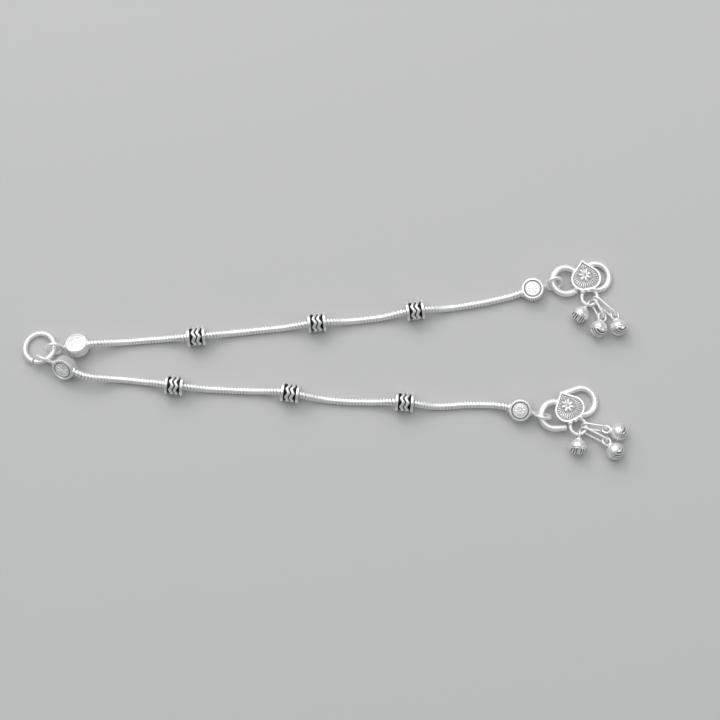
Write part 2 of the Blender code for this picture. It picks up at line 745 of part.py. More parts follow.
def bell_mesh(name):
    """A hollow bell: a seam round its middle, a slot between fine cuts below, a loop on top."""
    half = BELL_HEIGHT / 2
    cuts = []
    for index in (-2, -1, 1, 2):
        size = (BELL_DIAMETER * 1.2, BELL_CUT_WIDTH, BELL_HEIGHT)
        place = Vector((0.0, index * BELL_CUT_SPACING, -BELL_CUT_START - half))
        cuts.append(box_mesh(name, size, place))
    body = combined(name, bell_body(name, 0.0), cut=cuts)
    core = bell_body(name, BELL_CUT_DEPTH)
    inner_radius = BELL_DIAMETER / 2 - BELL_SEAM_HEIGHT - BELL_WALL - BELL_CUT_DEPTH
    inner_half = half - BELL_WALL - BELL_CUT_DEPTH
    hollow_profile = []
    for step in range(5):
        angle = pi * step / 4
        hollow_profile.append((inner_radius * sin(angle), inner_half * cos(angle)))
    hollow = turned_mesh(name, hollow_profile, 10)
    loop_radius = bell_loop_radius()
    ring = wire_mesh(name, circle_points(loop_radius, LOOP_STEPS), BELL_LOOP_WIRE, closed=True)
    lift = Matrix.Translation((0.0, 0.0, BELL_REACH))
    loop = moved(ring, lift @ Matrix.Rotation(pi / 2, 4, "X"))
    shank_profile = [
        (0.0, half * 0.86),
        (BELL_LOOP_WIRE * 0.9, half * 0.86),
        (BELL_LOOP_WIRE * 0.55, BELL_REACH - loop_radius),
        (0.0, BELL_REACH - loop_radius),
    ]
    shank = turned_mesh(name, shank_profile, 8)
    size = (BELL_DIAMETER * 1.2, BELL_SLOT_WIDTH, 2 * BELL_SLOT_DEPTH)
    slot = box_mesh(name, size, Vector((0.0, 0.0, -half)))
    return combined(name, body, joined=[core, shank, loop], cut=[hollow, slot])


def bell_loop_radius():
    """Radius of the bell's loop: it passes over the bail's wire with its gap."""
    return BAIL_WIRE / 2 + BELL_LOOP_GAP + BELL_LOOP_WIRE / 2


def bell_matrix(grip, thread, heading):
    """Place a bell with its loop round a wire at grip, its body resting on the surface."""
    rise = asin((BELL_REST_HEIGHT - grip.z) / BELL_REACH)
    away = flat_direction(heading) * cos(rise) + UP * sin(rise)
    z_axis = -away
    y_axis = (thread - z_axis * thread.dot(z_axis)).normalized()
    return frame_matrix(grip + away * BELL_REACH, y_axis.cross(z_axis), y_axis, z_axis)


def build_strand(strand, listed, anklet, finishes):
    """One strand: its chain, drums and coins. Returns the places of its two coins."""
    route = Route(listed)
    coins = {}
    ends = (("inner", 0.0, 180.0, 0.0), ("outer", route.length, 0.0, route.length))
    for side, distance, about, probe in ends:
        pose = COIN_POSES[f"{strand}_{side}"]
        entry = route.place(distance)
        coins[side] = coin_matrix(entry, route.heading(probe) + about, pose)
        name = f"coin_{strand}_{side}"
        mesh = coin_mesh(name, pose["eye_roll"])
        make_object(name, mesh, finishes["stamped"], coins[side], anklet)
    name = f"chain_{strand}"
    make_object(name, chain_mesh(name, route, coins), finishes["chain"], Matrix(), anklet)
    for index, distance in enumerate(route.drums, start=1):
        name = f"drum_{strand}_{index}"
        place = route.place(distance)
        centre = Vector((place.x, place.y, DRUM_REST_HEIGHT))
        turn = Matrix.Rotation(radians(route.heading(distance)), 4, "Z")
        matrix = Matrix.Translation(centre) @ turn @ Matrix.Rotation(pi / 2, 4, "Y")
        make_object(name, drum_mesh(name), finishes["drum"], matrix, anklet)
    return coins


def build_hook(strand, coin, anklet, finishes):
    """One hook with its three bells and their links."""
    pose = HOOK_POSES[strand]
    seat = seat_in_eye(coin, COIN_POSES[f"{strand}_outer"]["slack"])
    matrix = hook_matrix(seat, pose)
    name = f"hook_{strand}"
    make_object(name, hook_mesh(name, pose), finishes["bright"], matrix, anklet)
    for index, bell in enumerate(BELL_POSES[strand], start=1):
        around = bell["on_bail"] - pose["heading"]
        grip = matrix @ (bail_centre(pose) + flat_direction(around) * BAIL_RADIUS)
        thread = matrix.to_3x3() @ flat_direction(around + 90.0)
        if bell["link_length"]:
            length = bell["link_length"]
            placing, grip, thread = link_matrix(grip, length, bell["link_heading"])
            name = f"bell_link_{strand}_{index}"
            make_object(name, link_mesh(name, length), finishes["bright"], placing, anklet)
        name = f"bell_{strand}_{index}"
        placing = bell_matrix(grip, thread, bell["heading"])
        make_object(name, bell_mesh(name), finishes["bell"], placing, anklet)


def centre_on_origin(anklet):
    """Move the whole anklet so that the origin is under the middle of its box."""
    bpy.context.view_layer.update()
    corners = []
    for shape in anklet.children:
        corners += [shape.matrix_world @ vert.co for vert in shape.data.vertices]
    low = Vector([min(corner[axis] for corner in corners) for axis in range(3)])
    high = Vector([max(corner[axis] for corner in corners) for axis in range(3)])
    anklet.location = (-(low.x + high.x) / 2, -(low.y + high.y) / 2, -low.z)
    bpy.context.view_layer.update()


def main():
    for shape in list(bpy.data.objects):
        bpy.data.objects.remove(shape)
    finishes = {
        "bright": make_material("bright_silver", (0.93, 0.93, 0.91), 0.22),
        "chain": make_material("chain_silver", (0.93, 0.93, 0.91), 0.28),
        "drum": make_material("antiqued_silver", (0.72, 0.72, 0.7), 0.35),
        "stamped": make_material("stamped_silver", (0.9, 0.9, 0.88), 0.3),
        "bell": make_material("bell_silver", (0.91, 0.91, 0.89), 0.25),
    }
    anklet = bpy.data.objects.new("payal_anklet", None)
    bpy.context.scene.collection.objects.link(anklet)
    upper = build_strand("upper", UPPER_ROUTE, anklet, finishes)
    lower = build_strand("lower", LOWER_ROUTE, anklet, finishes)
    upper_seat = seat_in_eye(upper["inner"], COIN_POSES["upper_inner"]["slack"])
    lower_seat = seat_in_eye(lower["inner"], COIN_POSES["lower_inner"]["slack"])
    ring, ring_place = ring_piece(upper_seat, lower_seat)
    make_object("centre_ring", ring, finishes["bright"], ring_place, anklet)
    build_hook("upper", upper["outer"], anklet, finishes)
    build_hook("lower", lower["outer"], anklet, finishes)
    centre_on_origin(anklet)


main()
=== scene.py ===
# %% [markdown]
# # A payal anklet in silver
# A payal is an Indian anklet. This one lies opened out: two strands of round snake chain run from
# a cut ring to an S hook each, with drum beads on the way, a thick stamped coin at each end, and
# a leaf plate with three small bells on each hook. The solids of the construction model are
# loaded first. They are faceted, so each one gets a finer piece in its own place.

from bisect import bisect_right
from math import acos, asin, atan2, ceil, cos, degrees, pi, radians, sin, sqrt, tau

import bmesh
import bpy
from mathutils import Matrix, Vector


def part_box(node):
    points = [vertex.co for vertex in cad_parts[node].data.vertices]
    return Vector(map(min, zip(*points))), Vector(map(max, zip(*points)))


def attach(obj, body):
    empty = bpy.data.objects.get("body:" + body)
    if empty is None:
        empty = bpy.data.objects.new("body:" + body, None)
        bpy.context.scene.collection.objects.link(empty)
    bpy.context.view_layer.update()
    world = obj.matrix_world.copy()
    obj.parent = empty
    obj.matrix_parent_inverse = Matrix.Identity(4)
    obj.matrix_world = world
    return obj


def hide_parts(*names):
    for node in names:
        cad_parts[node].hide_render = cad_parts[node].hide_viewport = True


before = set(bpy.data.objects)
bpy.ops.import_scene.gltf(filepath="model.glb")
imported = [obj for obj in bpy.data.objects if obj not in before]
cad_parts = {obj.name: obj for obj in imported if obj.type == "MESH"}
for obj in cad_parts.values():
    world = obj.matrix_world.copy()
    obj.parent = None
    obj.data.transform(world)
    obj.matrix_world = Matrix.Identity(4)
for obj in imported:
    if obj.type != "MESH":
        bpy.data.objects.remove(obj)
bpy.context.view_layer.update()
MM = 0.001
print("pieces in the model:", len(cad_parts))

# %% [markdown]
# ## Sizes
# The same few sizes that drive the construction model are named here again, so that each fine
# piece lands where its solid is. Sizes that only the fine surface needs follow where they are
# used.

# %% Sizes of the chain, drums and coins
CHAIN_DIAMETER = 1.6 * MM
CHAIN_SLOPE = 0.2
CHAIN_STRAIGHT_END = 0.8 * MM
REST_GAP = 0.03 * MM

DRUM_DIAMETER = 4.3 * MM
DRUM_LENGTH = 3.9 * MM
DRUM_BORE_GAP = 0.3 * MM
DRUM_FLANGE_WIDTH = 0.6 * MM
DRUM_GROUND_DEPTH = 0.42 * MM
DRUM_RIDGE_HEIGHT = 0.3 * MM
DRUM_RIDGE_SPACING = 1.0 * MM
DRUM_WAVE_HEIGHT = 0.24 * MM
DRUM_WAVES = 6
DRUM_SOLID_SIDES = 12

COIN_DIAMETER = 5.0 * MM
COIN_THICKNESS = 2.5 * MM
COIN_RIM_WIDTH = 0.55 * MM
COIN_GROOVE_WIDTH = 0.3 * MM
COIN_GROOVE_DEPTH = 0.25 * MM
COIN_SOCKET_DEPTH = 0.5 * MM
COIN_SOCKET_GAP = 0.15 * MM
NECK_LENGTH = 0.35 * MM
NECK_DIAMETER = 1.7 * MM
EYE_HOLE = 2.7 * MM
EYE_WIRE = 0.8 * MM

# %% Sizes of the ring, hooks, leaf plates, links and bells
RING_RADIUS = 3.3 * MM
RING_WIRE = 1.15 * MM
RING_CUT = 0.35 * MM
RING_CUT_ANGLE = -110.0
WIRE_REST_DROP = 0.25 * MM

HOOK_LOOP_RADIUS = 2.95 * MM
HOOK_LOOP_SPACING = 6.8 * MM
HOOK_WIRE = 1.4 * MM
HOOK_TAIL_GAP = 0.3 * MM

LEAF_LENGTH = 6.7 * MM
LEAF_WIDTH = 6.6 * MM
LEAF_LOBE_RADIUS = 2.55 * MM
LEAF_THICKNESS = 0.75 * MM
LEAF_SINK = 0.12 * MM
LEAF_RIM_WIDTH = 0.42 * MM
LEAF_RELIEF = 0.28 * MM
LEAF_TIP_OVERHANG = 0.12 * MM
GRAIN_DIAMETER = 1.05 * MM
GRAIN_SPACING = 1.35 * MM
BAIL_RADIUS = 1.75 * MM
BAIL_WIRE = 0.75 * MM
BAIL_LAP = 0.15 * MM

BELL_DIAMETER = 4.0 * MM
BELL_HEIGHT = 3.7 * MM
BELL_WALL = 0.32 * MM
BELL_SEAM_HEIGHT = 0.1 * MM
BELL_SEAM_WIDTH = 0.5 * MM
BELL_CUT_SPACING = 0.5 * MM
BELL_CUT_WIDTH = 0.24 * MM
BELL_CUT_DEPTH = 0.16 * MM
BELL_CUT_START = 0.6 * MM
BELL_SLOT_WIDTH = 0.5 * MM
BELL_REACH = 2.8 * MM
BELL_LOOP_GAP = 0.25 * MM
BELL_LOOP_WIRE = 0.55 * MM
LINK_WIRE = 0.55 * MM
LINK_WIDTH = 2.5 * MM
LINK_GAP = 0.27 * MM
LINK_ROLL = 26.0
LINK_SHORT = 4.9 * MM
LINK_MIDDLE = 5.9 * MM
LINK_LONG = 6.65 * MM

# %% [markdown]
# ## How the anklet lies
# A chain that lies free has no formula, so its way over the table is a short list of places,
# read off in millimetres. A smooth curve is drawn through them. The coins, hooks and bells
# lie as they fell, so each has a few angles of its own.

# %% The lie of each strand, coin, hook and bell
ROUTES = {
    "upper": [
        (-51.8, 3.14, "coin"), (-48.6, 3.45, ""), (-43.3, 3.9, ""), (-36.7, 4.45, ""),
        (-28.2, 4.9, "drum"), (-20.9, 5.8, ""), (-14.3, 6.5, ""), (-6.4, 7.35, ""),
        (-1.8, 8.0, "drum"), (4.2, 8.4, ""), (12.1, 9.3, ""), (19.8, 10.7, "drum"),
        (26.6, 11.35, ""), (34.5, 12.6, ""), (41.1, 14.1, ""), (43.4, 14.8, "coin"),
    ],
    "lower": [
        (-54.5, -3.15, "coin"), (-53.2, -3.75, ""), (-51.7, -4.15, ""), (-49.9, -4.35, ""),
        (-43.3, -4.6, ""), (-37.4, -5.3, ""), (-32.8, -5.95, "drum"), (-27.5, -6.5, ""),
        (-18.7, -6.95, ""), (-11.7, -7.2, ""), (-7.5, -7.6, "drum"), (-2.4, -8.6, ""),
        (4.2, -9.35, ""), (12.1, -9.55, ""), (17.4, -9.65, "drum"), (22.7, -10.4, ""),
        (26.6, -10.4, ""), (30.6, -10.1, ""), (35.9, -10.1, ""), (38.3, -10.4, ""),
        (40.2, -10.8, "coin"),
    ],
}
COIN_POSES = {
    "upper_inner": {"turn": 2.0, "roll": 25.0, "eye_roll": 0.0, "slack": -0.2 * MM},
    "lower_inner": {"turn": 2.0, "roll": -45.0, "eye_roll": 40.0, "slack": 0.3 * MM},
    "upper_outer": {"turn": -2.0, "roll": -4.0, "eye_roll": -26.0, "slack": 0.3 * MM},
    "lower_outer": {"turn": -2.0, "roll": 14.0, "eye_roll": 8.0, "slack": 0.3 * MM},
}
HOOK_POSES = {
    "upper": {
        "heading": 8.0,
        "eye_angle": 188.0,
        "tail_angle": 75.0,
        "tail": 1.4 * MM,
        "far_tail_angle": 75.0,
        "leaf_turn": -86.0,
        "leaf_shift": 0.55 * MM,
    },
    "lower": {
        "heading": 27.3,
        "eye_angle": 154.0,
        "tail_angle": 110.0,
        "tail": 2.2 * MM,
        "far_tail_angle": 97.0,
        "leaf_turn": -90.0,
        "leaf_shift": -0.1 * MM,
    },
}
BELL_POSES = {
    "upper": [
        {"on_bail": -110.0, "heading": -124.0},
        {"on_bail": -54.0, "link_length": LINK_SHORT, "link_heading": -62.0, "heading": -107.0},
        {"on_bail": -22.0, "link_length": LINK_LONG, "link_heading": -42.0, "heading": -76.0},
    ],
    "lower": [
        {"on_bail": -86.0, "heading": -96.0},
        {"on_bail": -29.0, "link_length": LINK_LONG, "link_heading": -28.0, "heading": -50.0},
        {"on_bail": 4.0, "link_length": LINK_MIDDLE, "link_heading": -10.0, "heading": -12.0},
    ],
}

# %% Sizes that follow from the others
COIN_RADIUS = COIN_DIAMETER / 2
EYE_RADIUS = (EYE_HOLE + EYE_WIRE) / 2
EYE_OFFSET = COIN_RADIUS + NECK_LENGTH + EYE_RADIUS + EYE_WIRE / 2
CHAIN_REST_HEIGHT = CHAIN_DIAMETER / 2 + REST_GAP
DRUM_REST_HEIGHT = DRUM_DIAMETER / 2 * cos(pi / DRUM_SOLID_SIDES) + REST_GAP
BELL_REST_HEIGHT = BELL_DIAMETER / 2 + REST_GAP
LEAF_SEAT = HOOK_WIRE / 2 - LEAF_SINK
UP = Vector((0.0, 0.0, 1.0))
print("a coin's eye sits", round(EYE_OFFSET / MM, 2), "mm from its middle")


# %% [markdown]
# ## A line that can be walked along
# Links, beads and coins all need a place and a direction at some distance along a strand. One
# small class holds any line of close points and reads it by distance.


# %% A walkable line
def curve_between(before, first, second, after, share):
    """A point of the smooth curve that passes through first and second."""
    return 0.5 * (
        2.0 * first
        + (second - before) * share
        + (2.0 * before - 5.0 * first + 4.0 * second - after) * share**2
        + (3.0 * first - before - 3.0 * second + after) * share**3
    )


class Line:
    """Close points, read by distance; past an end it goes straight on."""

    def __init__(self, points):
        self.points = points
        self.distances = [0.0]
        for first, second in zip(points, points[1:]):
            self.distances.append(self.distances[-1] + (second - first).length)
        self.length = self.distances[-1]

    def place(self, distance):
        index = bisect_right(self.distances, distance) - 1
        index = min(max(index, 0), len(self.points) - 2)
        first, second = self.points[index], self.points[index + 1]
        span = self.distances[index + 1] - self.distances[index]
        return first + (second - first) * ((distance - self.distances[index]) / span)

    def direction(self, distance, reach=0.4 * MM):
        return (self.place(distance + reach) - self.place(distance - reach)).normalized()


ROUTE_SAMPLES = 24


def plan_line(listed):
    """The strand's line in plan, and how far along it each drum bead sits."""
    places = [Vector((x * MM, y * MM, 0.0)) for x, y, _ in listed]
    padded = [2 * places[0] - places[1], *places, 2 * places[-1] - places[-2]]
    points = []
    for index in range(1, len(padded) - 2):
        four = padded[index - 1 : index + 3]
        points += [curve_between(*four, step / ROUTE_SAMPLES) for step in range(ROUTE_SAMPLES)]
    line = Line(points + [places[-1]])
    carriers = [carrier for _, _, carrier in listed]
    drums = [
        line.distances[index * ROUTE_SAMPLES]
        for index, carrier in enumerate(carriers)
        if carrier == "drum"
    ]
    return line, drums


def heading_of(direction):
    return degrees(atan2(direction.y, direction.x))


def level(heading):
    """A level unit vector at a heading in degrees."""
    return Vector((cos(radians(heading)), sin(radians(heading)), 0.0))


PLANS = {strand: plan_line(listed) for strand, listed in ROUTES.items()}
for strand, (line, drums) in PLANS.items():
    print(strand, "chain", round(line.length / MM, 1), "mm,", len(drums), "drum beads")

# %% [markdown]
# ## Where the model's origin went
# The construction model was moved so that its origin is under the middle of its box. The same
# shift is found here by comparing one drum bead's box with its place on the route.

# %% Find the shift
drum_low, drum_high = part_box("drum_upper_1")
upper_line, upper_drums = PLANS["upper"]
drum_place = upper_line.place(upper_drums[0]) + UP * DRUM_REST_HEIGHT
SHIFT = Matrix.Translation((drum_low + drum_high) / 2 - drum_place)
print("shift in mm:", [round(value / MM, 3) for value in SHIFT.translation])


# %% [markdown]
# ## Where everything lies
# A coin rests on its rim and on its eye, a hook hangs in the eye and rests on its far loop, and a
# bell rests on its belly. Each of these is a small sum, and the next piece starts from the last
# one's place, as on the real anklet.


# %% Places of the coins
def coin_matrix(entry, chain_heading, pose):
    heading = chain_heading + pose["turn"]
    roll = radians(pose["roll"])
    eye_roll = roll + radians(pose["eye_roll"])
    drop = 0.0
    for _ in range(6):
        upright = cos(roll) * cos(drop)
        tipped = sqrt(1.0 - upright**2)
        coin_height = COIN_RADIUS * tipped + COIN_THICKNESS / 2 * upright + REST_GAP
        eye_lean = sin(eye_roll) * cos(drop)
        eye_height = EYE_RADIUS * sqrt(1.0 - eye_lean**2) + EYE_WIRE / 2 + REST_GAP
        drop = asin((coin_height - eye_height) / EYE_OFFSET)
    turn = Matrix.Rotation(radians(heading), 4, "Z") @ Matrix.Rotation(drop, 4, "Y")
    centre = Vector((entry.x, entry.y, coin_height)) + level(heading) * COIN_RADIUS
    return Matrix.Translation(centre) @ turn @ Matrix.Rotation(roll, 4, "X")


coins = {}
for strand, (line, _) in PLANS.items():
    for side, distance, about in (("inner", 0.0, 180.0), ("outer", line.length, 0.0)):
        chain_heading = heading_of(line.direction(distance)) + about
        pose = COIN_POSES[f"{strand}_{side}"]
        coins[f"{strand}_{side}"] = coin_matrix(line.place(distance), chain_heading, pose)
print("coins placed:", ", ".join(coins))


# %% Places of the ring and the hooks
def frame_matrix(origin, x_axis, y_axis, z_axis):
    matrix = Matrix((x_axis, y_axis, z_axis)).transposed().to_4x4()
    matrix.translation = origin
    return matrix


def seat_in_eye(name):
    """Where the middle of a wire lies in a coin's eye."""
    seat = coins[name] @ Vector((EYE_OFFSET - COIN_POSES[name]["slack"], 0.0, 0.0))
    return seat - UP * WIRE_REST_DROP


def ring_matrix(upper_seat, lower_seat):
    chord = lower_seat - upper_seat
    middle = (upper_seat + lower_seat) / 2
    across = chord.normalized()
    depth = sqrt(RING_RADIUS**2 - (chord.length / 2) ** 2)
    dip = asin((middle.z - RING_WIRE / 2 - REST_GAP) / (depth + RING_RADIUS))
    outward = across.cross(UP).normalized() * cos(dip) - UP * sin(dip)
    normal = outward.cross(across).normalized()
    if normal.z < 0.0:
        normal = -normal
    x_axis = (Vector((1.0, 0.0, 0.0)) - normal * normal.x).normalized()
    return frame_matrix(middle + outward * depth, x_axis, normal.cross(x_axis), normal)


def hook_matrix(seat, pose):
    grip = level(pose["eye_angle"]) * HOOK_LOOP_RADIUS
    run = HOOK_LOOP_SPACING + HOOK_LOOP_RADIUS - grip.x
    dip = asin((seat.z - HOOK_WIRE / 2 - REST_GAP) / run)
    turn = Matrix.Rotation(radians(pose["heading"]), 4, "Z") @ Matrix.Rotation(dip, 4, "Y")
    return Matrix.Translation(seat - turn @ grip) @ turn


ring_place = ring_matrix(seat_in_eye("upper_inner"), seat_in_eye("lower_inner"))
hooks = {
    strand: hook_matrix(seat_in_eye(f"{strand}_outer"), pose)
    for strand, pose in HOOK_POSES.items()
}
print("ring middle in mm:", [round(value / MM, 2) for value in ring_place.translation])

# %% Places of the leaf plate and the bail on a hook
BELL_LOOP_RADIUS = BAIL_WIRE / 2 + BELL_LOOP_GAP + BELL_LOOP_WIRE / 2


def leaf_place(pose):
    """The leaf plate's place on its hook, with its tip at the plate's own origin."""
    across = HOOK_LOOP_SPACING / 2 + pose["leaf_shift"]
    above = HOOK_LOOP_RADIUS + HOOK_WIRE / 2 + LEAF_TIP_OVERHANG
    tip = Matrix.Translation((across, above, LEAF_SEAT))
    return tip @ Matrix.Rotation(radians(pose["leaf_turn"]), 4, "Z")


def bail_centre(pose):
    reach = LEAF_LENGTH + BAIL_RADIUS - BAIL_LAP
    return leaf_place(pose) @ Vector((reach, 0.0, BAIL_WIRE * 0.1))


# %% Places of the links and the bells
def link_matrix(grip, length, heading):
    along = level(heading)
    side = Vector((-along.y, along.x, 0.0))
    short = UP * cos(radians(LINK_ROLL)) + side * sin(radians(LINK_ROLL))
    half = (length - LINK_WIRE) / 2
    seat = BAIL_WIRE / 2 + LINK_GAP + LINK_WIRE / 2
    centre = grip + along * (half - seat)
    return frame_matrix(centre, along, short, along.cross(short)), centre + along * half, short


def bell_matrix(grip, thread, heading):
    rise = asin((BELL_REST_HEIGHT - grip.z) / BELL_REACH)
    away = level(heading) * cos(rise) + UP * sin(rise)
    y_axis = (thread - away * thread.dot(away)).normalized()
    return frame_matrix(grip + away * BELL_REACH, y_axis.cross(-away), y_axis, -away)


links, bells = {}, {}
for strand, poses in BELL_POSES.items():
    hook_pose = HOOK_POSES[strand]
    for index, pose in enumerate(poses, start=1):
        around = pose["on_bail"] - hook_pose["heading"]
        grip = hooks[strand] @ (bail_centre(hook_pose) + level(around) * BAIL_RADIUS)
        thread = hooks[strand].to_3x3() @ level(around + 90.0)
        if "link_length" in pose:
            place, grip, thread = link_matrix(grip, pose["link_length"], pose["link_heading"])
            links[f"{strand}_{index}"] = (place, pose["link_length"])
        bells[f"{strand}_{index}"] = bell_matrix(grip, thread, pose["heading"])
print("links:", len(links), "bells:", len(bells))


# %% [markdown]
# ## Silver finishes
# All the metal is silver, but it isn't all alike. Wire is polished, stamped faces are frosted, and
# the low places have gone dark. Each piece carries a number at every point that is 1 in a deep,
# tarnished place and 0 on a bare one. The same number also holds painted shade on the chain's dark
# core, and a painted highlight where the chain's top and one coin keep less of their dark. The
# finish mixes towards the dark colour by it. Fine noise varies the polish, because worn silver is
# never even.


# %% One recipe for all silver finishes
CLOUD_SCALE = 420.0
GRAIN_SCALE = 2600.0
# The dark colour of tarnish, and also of the painted shade on the chain's core.
DARK_OF_TARNISH_AND_PAINTED_SHADE = (0.018, 0.017, 0.016, 1.0)


def shader_node(nodes, kind, **values):
    """A node of one kind, with some of its sockets set."""
    node = nodes.new(f"ShaderNode{kind}")
    for socket, value in values.items():
        node.inputs[socket.replace("_", " ")].default_value = value
    return node


def silver(name, polish, frost, dark, metal, bare=(0.95, 0.95, 0.93)):
    """Its polish, how frosted its grain is, how dark its low places are, and how metallic."""
    material = bpy.data.materials.new(name)
    material.use_nodes = True
    nodes, wires = material.node_tree.nodes, material.node_tree.links
    shader = nodes["Principled BSDF"]
    shader.inputs["Metallic"].default_value = metal
    place = shader_node(nodes, "TexCoord")
    cloud = shader_node(nodes, "TexNoise", Scale=CLOUD_SCALE, Detail=4.0)
    wires.new(place.outputs["Object"], cloud.inputs["Vector"])
    # This number is tarnish in the relief, painted shade on the chain's core, and lowered for a
    # painted highlight on the chain's top and one coin.
    tarnish_and_painted_shade = shader_node(nodes, "Attribute")
    tarnish_and_painted_shade.attribute_name = "tarnish_and_painted_shade"
    depth = shader_node(nodes, "MapRange", From_Min=0.25, From_Max=0.85, To_Max=dark)
    wires.new(tarnish_and_painted_shade.outputs["Fac"], depth.inputs["Value"])
    colour = shader_node(nodes, "Mix")
    colour.data_type = "RGBA"
    colour.inputs["A"].default_value = (*bare, 1.0)
    colour.inputs["B"].default_value = DARK_OF_TARNISH_AND_PAINTED_SHADE
    wires.new(depth.outputs["Result"], colour.inputs["Factor"])
    wires.new(colour.outputs["Result"], shader.inputs["Base Color"])
    rough = shader_node(nodes, "MapRange", To_Min=polish - 0.05, To_Max=polish + 0.09)
    wires.new(cloud.outputs["Fac"], rough.inputs["Value"])
    dulled = shader_node(nodes, "Math")
    dulled.operation = "MULTIPLY_ADD"
    dulled.inputs[1].default_value = 0.3
    wires.new(depth.outputs["Result"], dulled.inputs[0])
    wires.new(rough.outputs["Result"], dulled.inputs[2])
    wires.new(dulled.outputs["Value"], shader.inputs["Roughness"])
    grain = shader_node(nodes, "TexNoise", Scale=GRAIN_SCALE, Detail=3.0)
    wires.new(place.outputs["Object"], grain.inputs["Vector"])
    bump = shader_node(nodes, "Bump", Strength=frost, Distance=0.1 * MM)
    wires.new(grain.outputs["Fac"], bump.inputs["Height"])
    wires.new(bump.outputs["Normal"], shader.inputs["Normal"])
    return material


polished = silver("polished_silver", polish=0.27, frost=0.05, dark=0.6, metal=0.5)
stamped = silver("stamped_silver", polish=0.36, frost=0.1, dark=0.7, metal=0.7)
oxidised = silver("oxidised_silver", polish=0.27, frost=0.05, dark=1.0, metal=0.75)
chained = silver("chain_silver", polish=0.3, frost=0.03, dark=0.85, metal=0.6)
belled = silver("bell_silver", polish=0.27, frost=0.05, dark=0.8, metal=0.6)
print("finishes:", [m.name for m in (polished, stamped, oxidised, chained, belled)])


# %% [markdown]
# ## Helpers for the metalwork
# Most of these pieces are turned or bent from wire. Turning is a spin of a profile round an axis.
# Bending is done as at a bench: a circle is pushed along for each straight run and spun about a
# centre for each bend, so the wire keeps its round section.


# %% Blank meshes, turned shapes and joined parts
MERGE_DISTANCE = 0.001 * MM


def blank():
    build = bmesh.new()
    build.verts.layers.float.new("tarnish_and_painted_shade")
    return build


def darken(build, verts, amount):
    layer = build.verts.layers.float["tarnish_and_painted_shade"]
    for vert in verts:
        vert[layer] = amount


def turned(profile, sides, closed_profile=False):
    """Rows of (radius, height, tarnish), turned round the Z axis."""
    build = blank()
    layer = build.verts.layers.float["tarnish_and_painted_shade"]
    verts = []
    for radius, height, tarnish_and_painted_shade in profile:
        vert = build.verts.new((radius, 0.0, height))
        vert[layer] = tarnish_and_painted_shade
        verts.append(vert)
    pairs = list(zip(verts, verts[1:]))
    if closed_profile:
        pairs.append((verts[-1], verts[0]))
    edges = [build.edges.new(pair) for pair in pairs]
    bmesh.ops.spin(
        build,
        geom=verts + edges,
        cent=(0.0, 0.0, 0.0),
        axis=(0.0, 0.0, 1.0),
        angle=tau,
        steps=sides,
        use_merge=True,
    )
    bmesh.ops.remove_doubles(build, verts=build.verts, dist=MERGE_DISTANCE)
    return build


def fused(parts):
    """Several shapes in one mesh: rows of (shape, its place, its finish's number)."""
    whole = blank()
    for shape, place, finish in parts:
        bmesh.ops.transform(shape, matrix=place, verts=shape.verts)
        for face in shape.faces:
            face.material_index = finish
        mesh = bpy.data.meshes.new("shape")
        shape.to_mesh(mesh)
        shape.free()
        whole.from_mesh(mesh)
        bpy.data.meshes.remove(mesh)
    return whole


HERE = Matrix.Identity(4)
ON_SIDE = Matrix.Rotation(pi / 2, 4, "X")


# %% Finish a piece and hang it on the model
def finish_piece(build, node, place, finishes, sharp=38.0):
    """Make the object, lay it in its place and let it stand for its solid."""
    bmesh.ops.recalc_face_normals(build, faces=build.faces)
    bmesh.ops.transform(build, matrix=SHIFT @ place, verts=build.verts)
    mesh = bpy.data.meshes.new(f"{node}_fine")
    build.to_mesh(mesh)
    build.free()
    for finish in finishes:
        mesh.materials.append(finish)
    mesh.shade_smooth()
    mesh.set_sharp_from_angle(angle=radians(sharp))
    piece = bpy.data.objects.new(f"{node}_fine", mesh)
    bpy.context.scene.collection.objects.link(piece)
    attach(piece, "root")
    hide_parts(node)
    return piece


# %% A wire that is run and bent
class Wire:
    """A round wire that grows: runs are extruded, bends are spun in the XY plane."""

    def __init__(self, diameter, start, heading, sides=16, bend_step=7.5):
        self.build = blank()
        self.heading = heading
        self.bend_step = bend_step
        bmesh.ops.create_circle(self.build, segments=sides, radius=diameter / 2)
        turn = Matrix.Rotation(radians(heading), 4, "Z") @ Matrix.Rotation(pi / 2, 4, "Y")
        place = Matrix.Translation(start) @ turn
        bmesh.ops.transform(self.build, matrix=place, verts=self.build.verts)
        self.first = list(self.build.edges)
        self.last = list(self.build.edges)

    def run(self, length):
        grown = bmesh.ops.extrude_edge_only(self.build, edges=self.last)["geom"]
        verts = [item for item in grown if isinstance(item, bmesh.types.BMVert)]
        bmesh.ops.translate(self.build, verts=verts, vec=level(self.heading) * length)
        reached = set(verts)
        edges = [item for item in grown if isinstance(item, bmesh.types.BMEdge)]
        self.last = [edge for edge in edges if reached.issuperset(edge.verts)]

    def bend(self, centre, angle):
        verts = list({vert for edge in self.last for vert in edge.verts})
        grown = bmesh.ops.spin(
            self.build,
            geom=verts + self.last,
            cent=centre,
            axis=(0.0, 0.0, 1.0),
            angle=radians(angle),
            steps=ceil(abs(angle) / self.bend_step),
        )
        self.last = [item for item in grown["geom_last"] if isinstance(item, bmesh.types.BMEdge)]
        self.heading += angle

    def close(self):
        bmesh.ops.bridge_loops(self.build, edges=self.first + self.last)
        return self.build

    def cut(self, chamfer):
        """Close both ends with a flat cut whose edge is rounded."""
        for edges in (self.first, self.last):
            bmesh.ops.contextual_create(self.build, geom=edges)
        bmesh.ops.bevel(
            self.build,
            geom=self.first + self.last,
            offset=chamfer,
            segments=3,
            profile=0.5,
            affect="EDGES",
            material=-1,
        )
        return self.build


